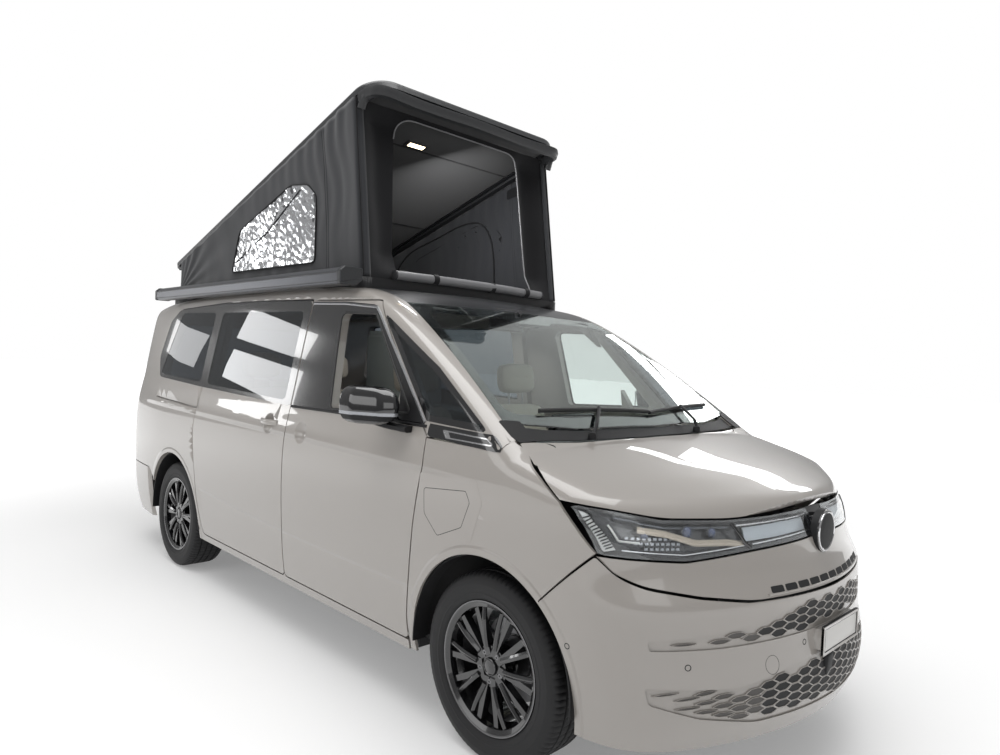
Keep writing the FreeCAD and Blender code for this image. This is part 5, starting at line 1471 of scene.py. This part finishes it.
def spoke(u, side, angle, lean):
    """a ridge from the hub to the rim, on one flank of a spoke"""
    inner, outer = np.array([70, lean * 21.0]), np.array([219, lean * 47.5])
    path = []
    for t in np.linspace(0, 1, 9):
        a, b = inner * (1 - t) + outer * t
        x, z = a * math.cos(angle) - b * math.sin(angle), a * math.sin(angle) + b * math.cos(angle)
        path.append((u + x, side * (wheel_middle + 89.6 + 5.0 * math.sin(math.pi * t) - 5 * t * t), tyre_radius + z))
    return swept("leg", path, spoke_shape, up=(0, side, 0), angle=25)


for u, end in ((0, "front"), (-wheel_base, "rear")):
    for side, hand in hands:
        body = "wheel_" + end[0] + hand[0]
        label = end + "_" + hand
        middle = np.array([u, side * wheel_middle, tyre_radius])
        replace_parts(kept(tyre(label + "_tyre", u, side), "rubber", body=body), "tyre_" + label)
        for part, finish, slot, steps, profile in (
                ("_rim_edge", "rim_line", None, 96, [(240, 104), (243, 107.4), (246.5, 107.4), (247, 104),
                 (240, 104)]),
                ("_cap", "gloss_black", "wheel_paint", 40, [(0.1, 95), (24, 94), (27, 92.5), (28.5, 95), (31, 95),
                 (33, 92), (34, 82), (0.1, 82)]),
                ("_brake_disc", "steel", "chassis_steel", 64,
                 [(90, -50.6), (165, -50.6), (165, -49.4), (90, -49.4), (90, -50.6)])):
            kept(turned(label + part, [(r, side * along) for r, along in profile], middle, "y", steps), finish,
                 body)
        turns = np.radians(90 + 36 + 72 * np.arange(5))
        spots = middle + np.stack([np.cos(turns) * 56, np.full(5, side * 83.0), np.sin(turns) * 56], axis=1)
        kept(repeats(label + "_bolts", bolt_item, spots, [(1, 0, 0)] * 5, [(0, side, 0)] * 5, np.ones((5, 3)),
                     "rim_line"), "rim_line", body=body)
        legs = [spoke(u, side, math.radians(90 + 72 * i), lean) for i in range(5) for lean in (-1, 1)]
        kept(joined(label + "_spoke_ridges", legs), "wheel_black", body=body)
drop(bolt_item)

# Awning: end caps, lines along its front and the groove on top

for u, label in ((-3722, "rear"), (-1158, "front")):
    way = -1 if label == "rear" else 1
    outer = rounded([(-906, 1846, 12), (-907, 1914, 12), (-882, 1937, 12), (-776, 1937, 12), (-776, 1878, 12),
            (-811, 1847, 12)], 4)
    loops = [(outer, u - way * 22), (outer, u + way * 4), (inset(outer, 3), u + way * 8),
             (inset(outer, 12), u + way * 8.4)]
    points = [(x, y, z) for loop, x in loops for y, z in loop]
    count = len(outer)
    faces = grid_faces(4, count) + [tuple(range(count)), tuple(range(3 * count, 4 * count))]
    kept(mended(piece(label + "_awning_cap", points, faces)), "awning_black")
for z, label in ((1862, "low"), (1906, "high")):
    kept(swept("awning_%s_line" % label, [(-3700, -906.2, z), (-2400, -906.2, z), (-1180, -906.2, z)],
               [(-1, -2.4), (1.6, -1.6), (1.6, 1.6), (-1, 2.4)]), "awning_black")
kept(swept("awning_top_groove", [(-3700, -846, 1934.6), (-1180, -846, 1934.6)],
           [(-5, -0.6), (5, -0.6), (4, 1), (-4, 1)]), "awning_black")

# Seats: crowned cushions with a seam round the edge and pulled lines across


def cushion(name, centre, size, turn=0.0, lines=(), square=0.34):
    """a crowned cushion with pulled lines, given as (axis, place)"""
    across, around = 40, 72
    half = np.array(size, float) / 2
    points = []
    for i in range(across + 1):
        lift = math.pi * (i / across - 0.5)
        for k in range(around):
            way = 2 * math.pi * (k + 0.5) / around
            c, s, e = math.cos(lift), math.sin(lift), square
            x = abs(c) ** e * math.copysign(abs(math.cos(way)) ** e, math.cos(way))
            y = abs(c) ** e * math.copysign(abs(math.sin(way)) ** e, math.sin(way))
            z = math.copysign(abs(s) ** 0.55, s)
            points.append((x, y, z))
    points = np.array(points)
    soft = 1 + 0.10 * (1 - points[:, 0] ** 2) * (1 - points[:, 1] ** 2)
    points[:, 2] *= soft
    points = points * half
    rim = np.exp(-(points[:, 2] / 5.0) ** 2)
    points[:, :2] *= (1 - 0.012 * rim)[:, None]
    for axis, at in lines:
        dent = 5.0 * np.exp(-((points[:, axis] - at) / 7.0) ** 2)
        points[:, 2] -= np.sign(points[:, 2]) * dent
    cos, sin = math.cos(math.radians(turn)), math.sin(math.radians(turn))
    x, z = points[:, 0] * cos - points[:, 2] * sin, points[:, 0] * sin + points[:, 2] * cos
    points = np.column_stack([x, points[:, 1], z]) + np.array(centre, float)
    made = kept(mended(piece(name, points, grid_faces(across + 1, around)), 60), "seat_cloth")
    return made


first = None
for y, wide, back, label in (
        (385, 490, -640, "driver"),
        (-385, 490, -640, "passenger"),
        (-150, 990, -2380, "bench")):
    span = (-wide * 0.27, wide * 0.27) if label != "bench" else (-160, 160)
    lines = [(1, at) for at in span] + [(0, -90), (0, 60)]
    seat_part = cushion(label + "_cushion", (back - 275, y, 585), (530, wide, 150), -4, lines)
    first = first or seat_part
    cushion(label + "_backrest", (back - 500, y, 945), (600, wide * 0.98, 140), 100, lines)
    for k, spot in enumerate((0,) if label != "bench" else (-280, 280)):
        cushion("%s_headrest_%d" % (label, k), (back - 548, y + spot, 1400), (180, 270, 105), 98, [(0, 0)], 0.5)
        for side in (-60, 60):
            kept(swept("%s_headrest_post_%d_%d" % (label, k, side > 0),
                       [(back - 535, y + spot + side, 1225), (back - 547, y + spot + side, 1330)], round_profile(6)),
                 "steel")
    kept(block(label + "_plinth", (back - 290, y, 422), (430, wide * 0.8, 176), 24), "cabin_black")
    if label != "bench":
        for side in (-1, 1):
            kept(block("%s_armrest_%d" % (label, side > 0), (back - 330, y + side * 262, 790), (300, 52, 62), 22,
                       (0, 6, 0)), "seat_cloth")
            kept(block("%s_seat_side_%d" % (label, side > 0), (back - 290, y + side * 225, 530), (420, 46, 96), 18),
                 "cabin_black")
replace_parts(first, "seats")

# Dashboard, screens, inner mirror and steering wheel parts

for name, centre, size, radius, turns, finish in (
        ("centre_screen", (-402, -20, 1160), (14, 330, 196), 8, (0, 14, 0), "gloss_black"),
        ("centre_screen_back", (-380, -20, 1152), (34, 250, 140), 12, (0, 14, 0), "cabin_black"),
        ("driver_screen", (-392, 385, 1150), (16, 270, 110), 8, (0, 12, 0), "gloss_black"),
        ("driver_hood", (-330, 385, 1180), (130, 330, 44), 20, (0, -4, 0), "cabin_black"),
        ("dash_pad", (-230, 0, 1148), (230, 1500, 26), 12, (0, -2, 0), "cabin_black"),
        ("dash_trim", (-412, -420, 1000), (12, 560, 60), 5, (0, 0, 0), "dark_aluminium"),
        ("glove_lid", (-398, -420, 915), (14, 520, 90), 10, (0, -20, 0), "cabin_black"),
        ("inner_mirror", (-905, 0, 1700), (34, 250, 72), 16, (0, -12, 0), "gloss_black"),
        ("roof_console", (-980, 0, 1775), (240, 260, 40), 18, (0, 4, 0), "cabin_black")):
    kept(block(name, centre, size, radius, turns), finish)
for y in (-640, -140, 110, 640):
    kept(block("air_vent_%d" % (y + 640), (-408, y, 1082), (16, 120, 46), 8), "gloss_black")
    kept(joined("air_vanes_%d" % (y + 640), [block("vane", (-418, y, 1066 + 11 * k), (6, 108, 3), 1)
            for k in range(4)]), "cabin_black")
kept(swept("inner_mirror_stalk", [(-888, 0, 1716), (-840, 0, 1750), (-800, 0, 1772)], round_profile(14)),
     "cabin_black")
for side, label in ((-1, "passenger"), (1, "driver")):
    kept(block(label + "_visor", (-880, side * 380, 1752), (170, 420, 20), 8, (0, 14, 0)), "lining_grey")
hub = turned("wheel_hub_cover", [(0.1, 24), (40, 23), (62, 17), (74, 4), (76, -10), (0.1, -10)], (0, 0, 0), "z", 48)
hub.data.transform(Matrix.Translation(place(-480, 385, 1030)) @ Matrix.Rotation(math.radians(-66), 4, "Y")
        @ Matrix.Translation(-Vector(place(0, 0, 0))))
kept(hub, "cabin_black", body="steer_wheel")

# Kitchen unit: doors, worktop and dark handle strips on the doors

for low, high, foot, top, label in (
        (-2890, -2430, 370, 880, "rear"),
        (-2415, -1960, 370, 880, "middle"),
        (-1945, -1490, 370, 880, "front"),
        (-2890, -2430, 1000, 1660, "cupboard_rear"),
        (-2415, -2180, 1000, 1660, "cupboard_front")):
    kept(block("kitchen_door_" + label, ((low + high) / 2, 433, (foot + top) / 2), (high - low, 14, top - foot), 5),
         "board")
    kept(block("kitchen_pull_" + label, (high - 60, 425, (foot + top) / 2), (22, 4, 120), 1.8), "gloss_black")
kept(block("worktop", (-2190, 634, 925), (1430, 416, 30), 8), "piping_grey")
kept(block("worktop_edge", (-2190, 424, 925), (1430, 6, 18), 2.5), "satin_strip")

# Back: window border, wiper, lamp band, plate recess, handle, bumper pad, reflectors and lower insert

gate_pane = rounded([(-606, 1686, 60), (-729, 1244, 60), (729, 1244, 60), (606, 1686, 60)])
band_outline = rounded([(-838, 1012, 10), (-838, 1092, 10), (-520, 1064, 30), (520, 1064, 30), (838, 1092, 10),
        (838, 1012, 10), (520, 1026, 30), (-520, 1026, 30)])
gate_plate = rounded([(-262, 772, 8), (-262, 886, 8), (262, 886, 8), (262, 772, 8)])
for name, outline, holes, grid, lift, thick, step, finish, slot, body in (
        ("gate_window_border", rounded([(-650, 1722, 70), (-774, 1206, 70), (774, 1206, 70), (650, 1722, 70)]),
         [gate_pane], 50, 1.0, 1.0, 20, "gloss_black", None, "tail_door"),
        ("gate_lamp_band", band_outline, (), 40, 2.4, 3.0, 14, "red_lens", None, "tail_door"),
        ("gate_lamp_frame", inset(band_outline, -9), [inset(band_outline, 1)], 40, 1.4, 2.0, 14, "gloss_black", None,
         "tail_door"),
        ("gate_plate_recess", rounded([(-310, 752, 30), (-330, 930, 30), (330, 930, 30), (310, 752, 30)]), (), 30,
         0.8, 1.5, 14, "trim_black", None, "tail_door"),
        ("gate_plate_face", inset(gate_plate, 3), (), 30, 4.4, 2.5, 14, "plate_pale", "gloss_black", "tail_door"),
        ("gate_plate_frame", gate_plate, [inset(gate_plate, 4)], 30, 5.6, 5.0, 14, "gloss_black", None, "tail_door"),
        ("high_brake_lamp", rounded([(-180, 1742, 6), (-184, 1764, 6), (184, 1764, 6), (180, 1742, 6)]), (), 30, 1.6,
         2.0, 12, "red_lens", None, "tail_door"),
        ("bumper_pad", rounded([(-600, 612, 10), (-604, 634, 10), (604, 634, 10), (600, 612, 10)]), (), 40, 1.6, 2.0,
         16, "trim_black", None, "body"),
        ("rear_lower_insert", rounded([(-640, 300, 30), (-700, 392, 30), (700, 392, 30), (640, 300, 30)]), (), 40,
         1.6, 2.0, 18, "trim_black", None, "body")):
    kept(patch(name, outline, on_tail, holes=holes, grid=grid, lift=lift, thick=thick, step=step), finish, body)
for name, path, out, profile, finish, slot, body in (
        ("gate_wiper_arm", [(0, 1168), (-120, 1190), (-260, 1214)], 16,
         [(-7, -5), (7, -5), (8, 2), (4, 6), (-4, 6), (-8, 2)], "trim_black", None, "tail_door"),
        ("gate_wiper_blade", [(-60, 1200), (-260, 1214), (-460, 1222)], 10,
         [(-9, -4), (9, -4), (7, 3), (2, 8), (-2, 8), (-7, 3)], "rubber", "black_trim", "tail_door"),
        ("gate_handle", [(-150, 915), (0, 917), (150, 915)], 5, [(-11, -4), (11, -4), (9, 6), (-9, 6)], "trim_black",
         None, "tail_door"),
        *(("rear_insert_rib_%d" % z, [(y, z) for y in range(-620, 621, 62)], 0, [(-3, 0), (3, 0), (2, 5), (-2, 5)],
         "trim_black", None, "body") for z in (322, 346, 370))):
    kept(swept(name, on_tail(path) - (out, 0, 0), profile, up=(-1, 0, 0)), finish, body)
kept(turned("gate_wiper_foot", [(0.1, -24), (14, -23), (18, -20), (22, -8), (24, 6), (0.1, 6)],
            on_tail([(0, 1168)])[0], "u", 32), "trim_black", body="tail_door")
for side, label in hands:
    spot = [(side * 560, 446, 6), (side * 560, 468, 6), (side * 720, 472, 6), (side * 720, 450, 6)]
    kept(patch(label + "_reflector", rounded(spot), on_tail, grid=24, lift=2.0, thick=2.0, step=10), "red_lens")
    for k, y in enumerate((330, 610)):
        kept(turned("%s_rear_sensor_%d" % (label, k), [(0.1, -1.6), (9, -1.4), (11, -0.6), (11.6, 3), (0.1, 3)],
                    on_tail([(side * y, 545)])[0], "u", 24), "satin_strip")

# Floor

mesh = bpy.data.meshes.new("ground")
mesh.from_pydata([(-60, -60, 0), (60, -60, 0), (60, 60, 0), (-60, 60, 0)], [], [(0, 1, 2, 3)])
ground = bpy.data.objects.new("ground", mesh)
scene.collection.objects.link(ground)
mesh.materials.append(finishes["floor_tone"])
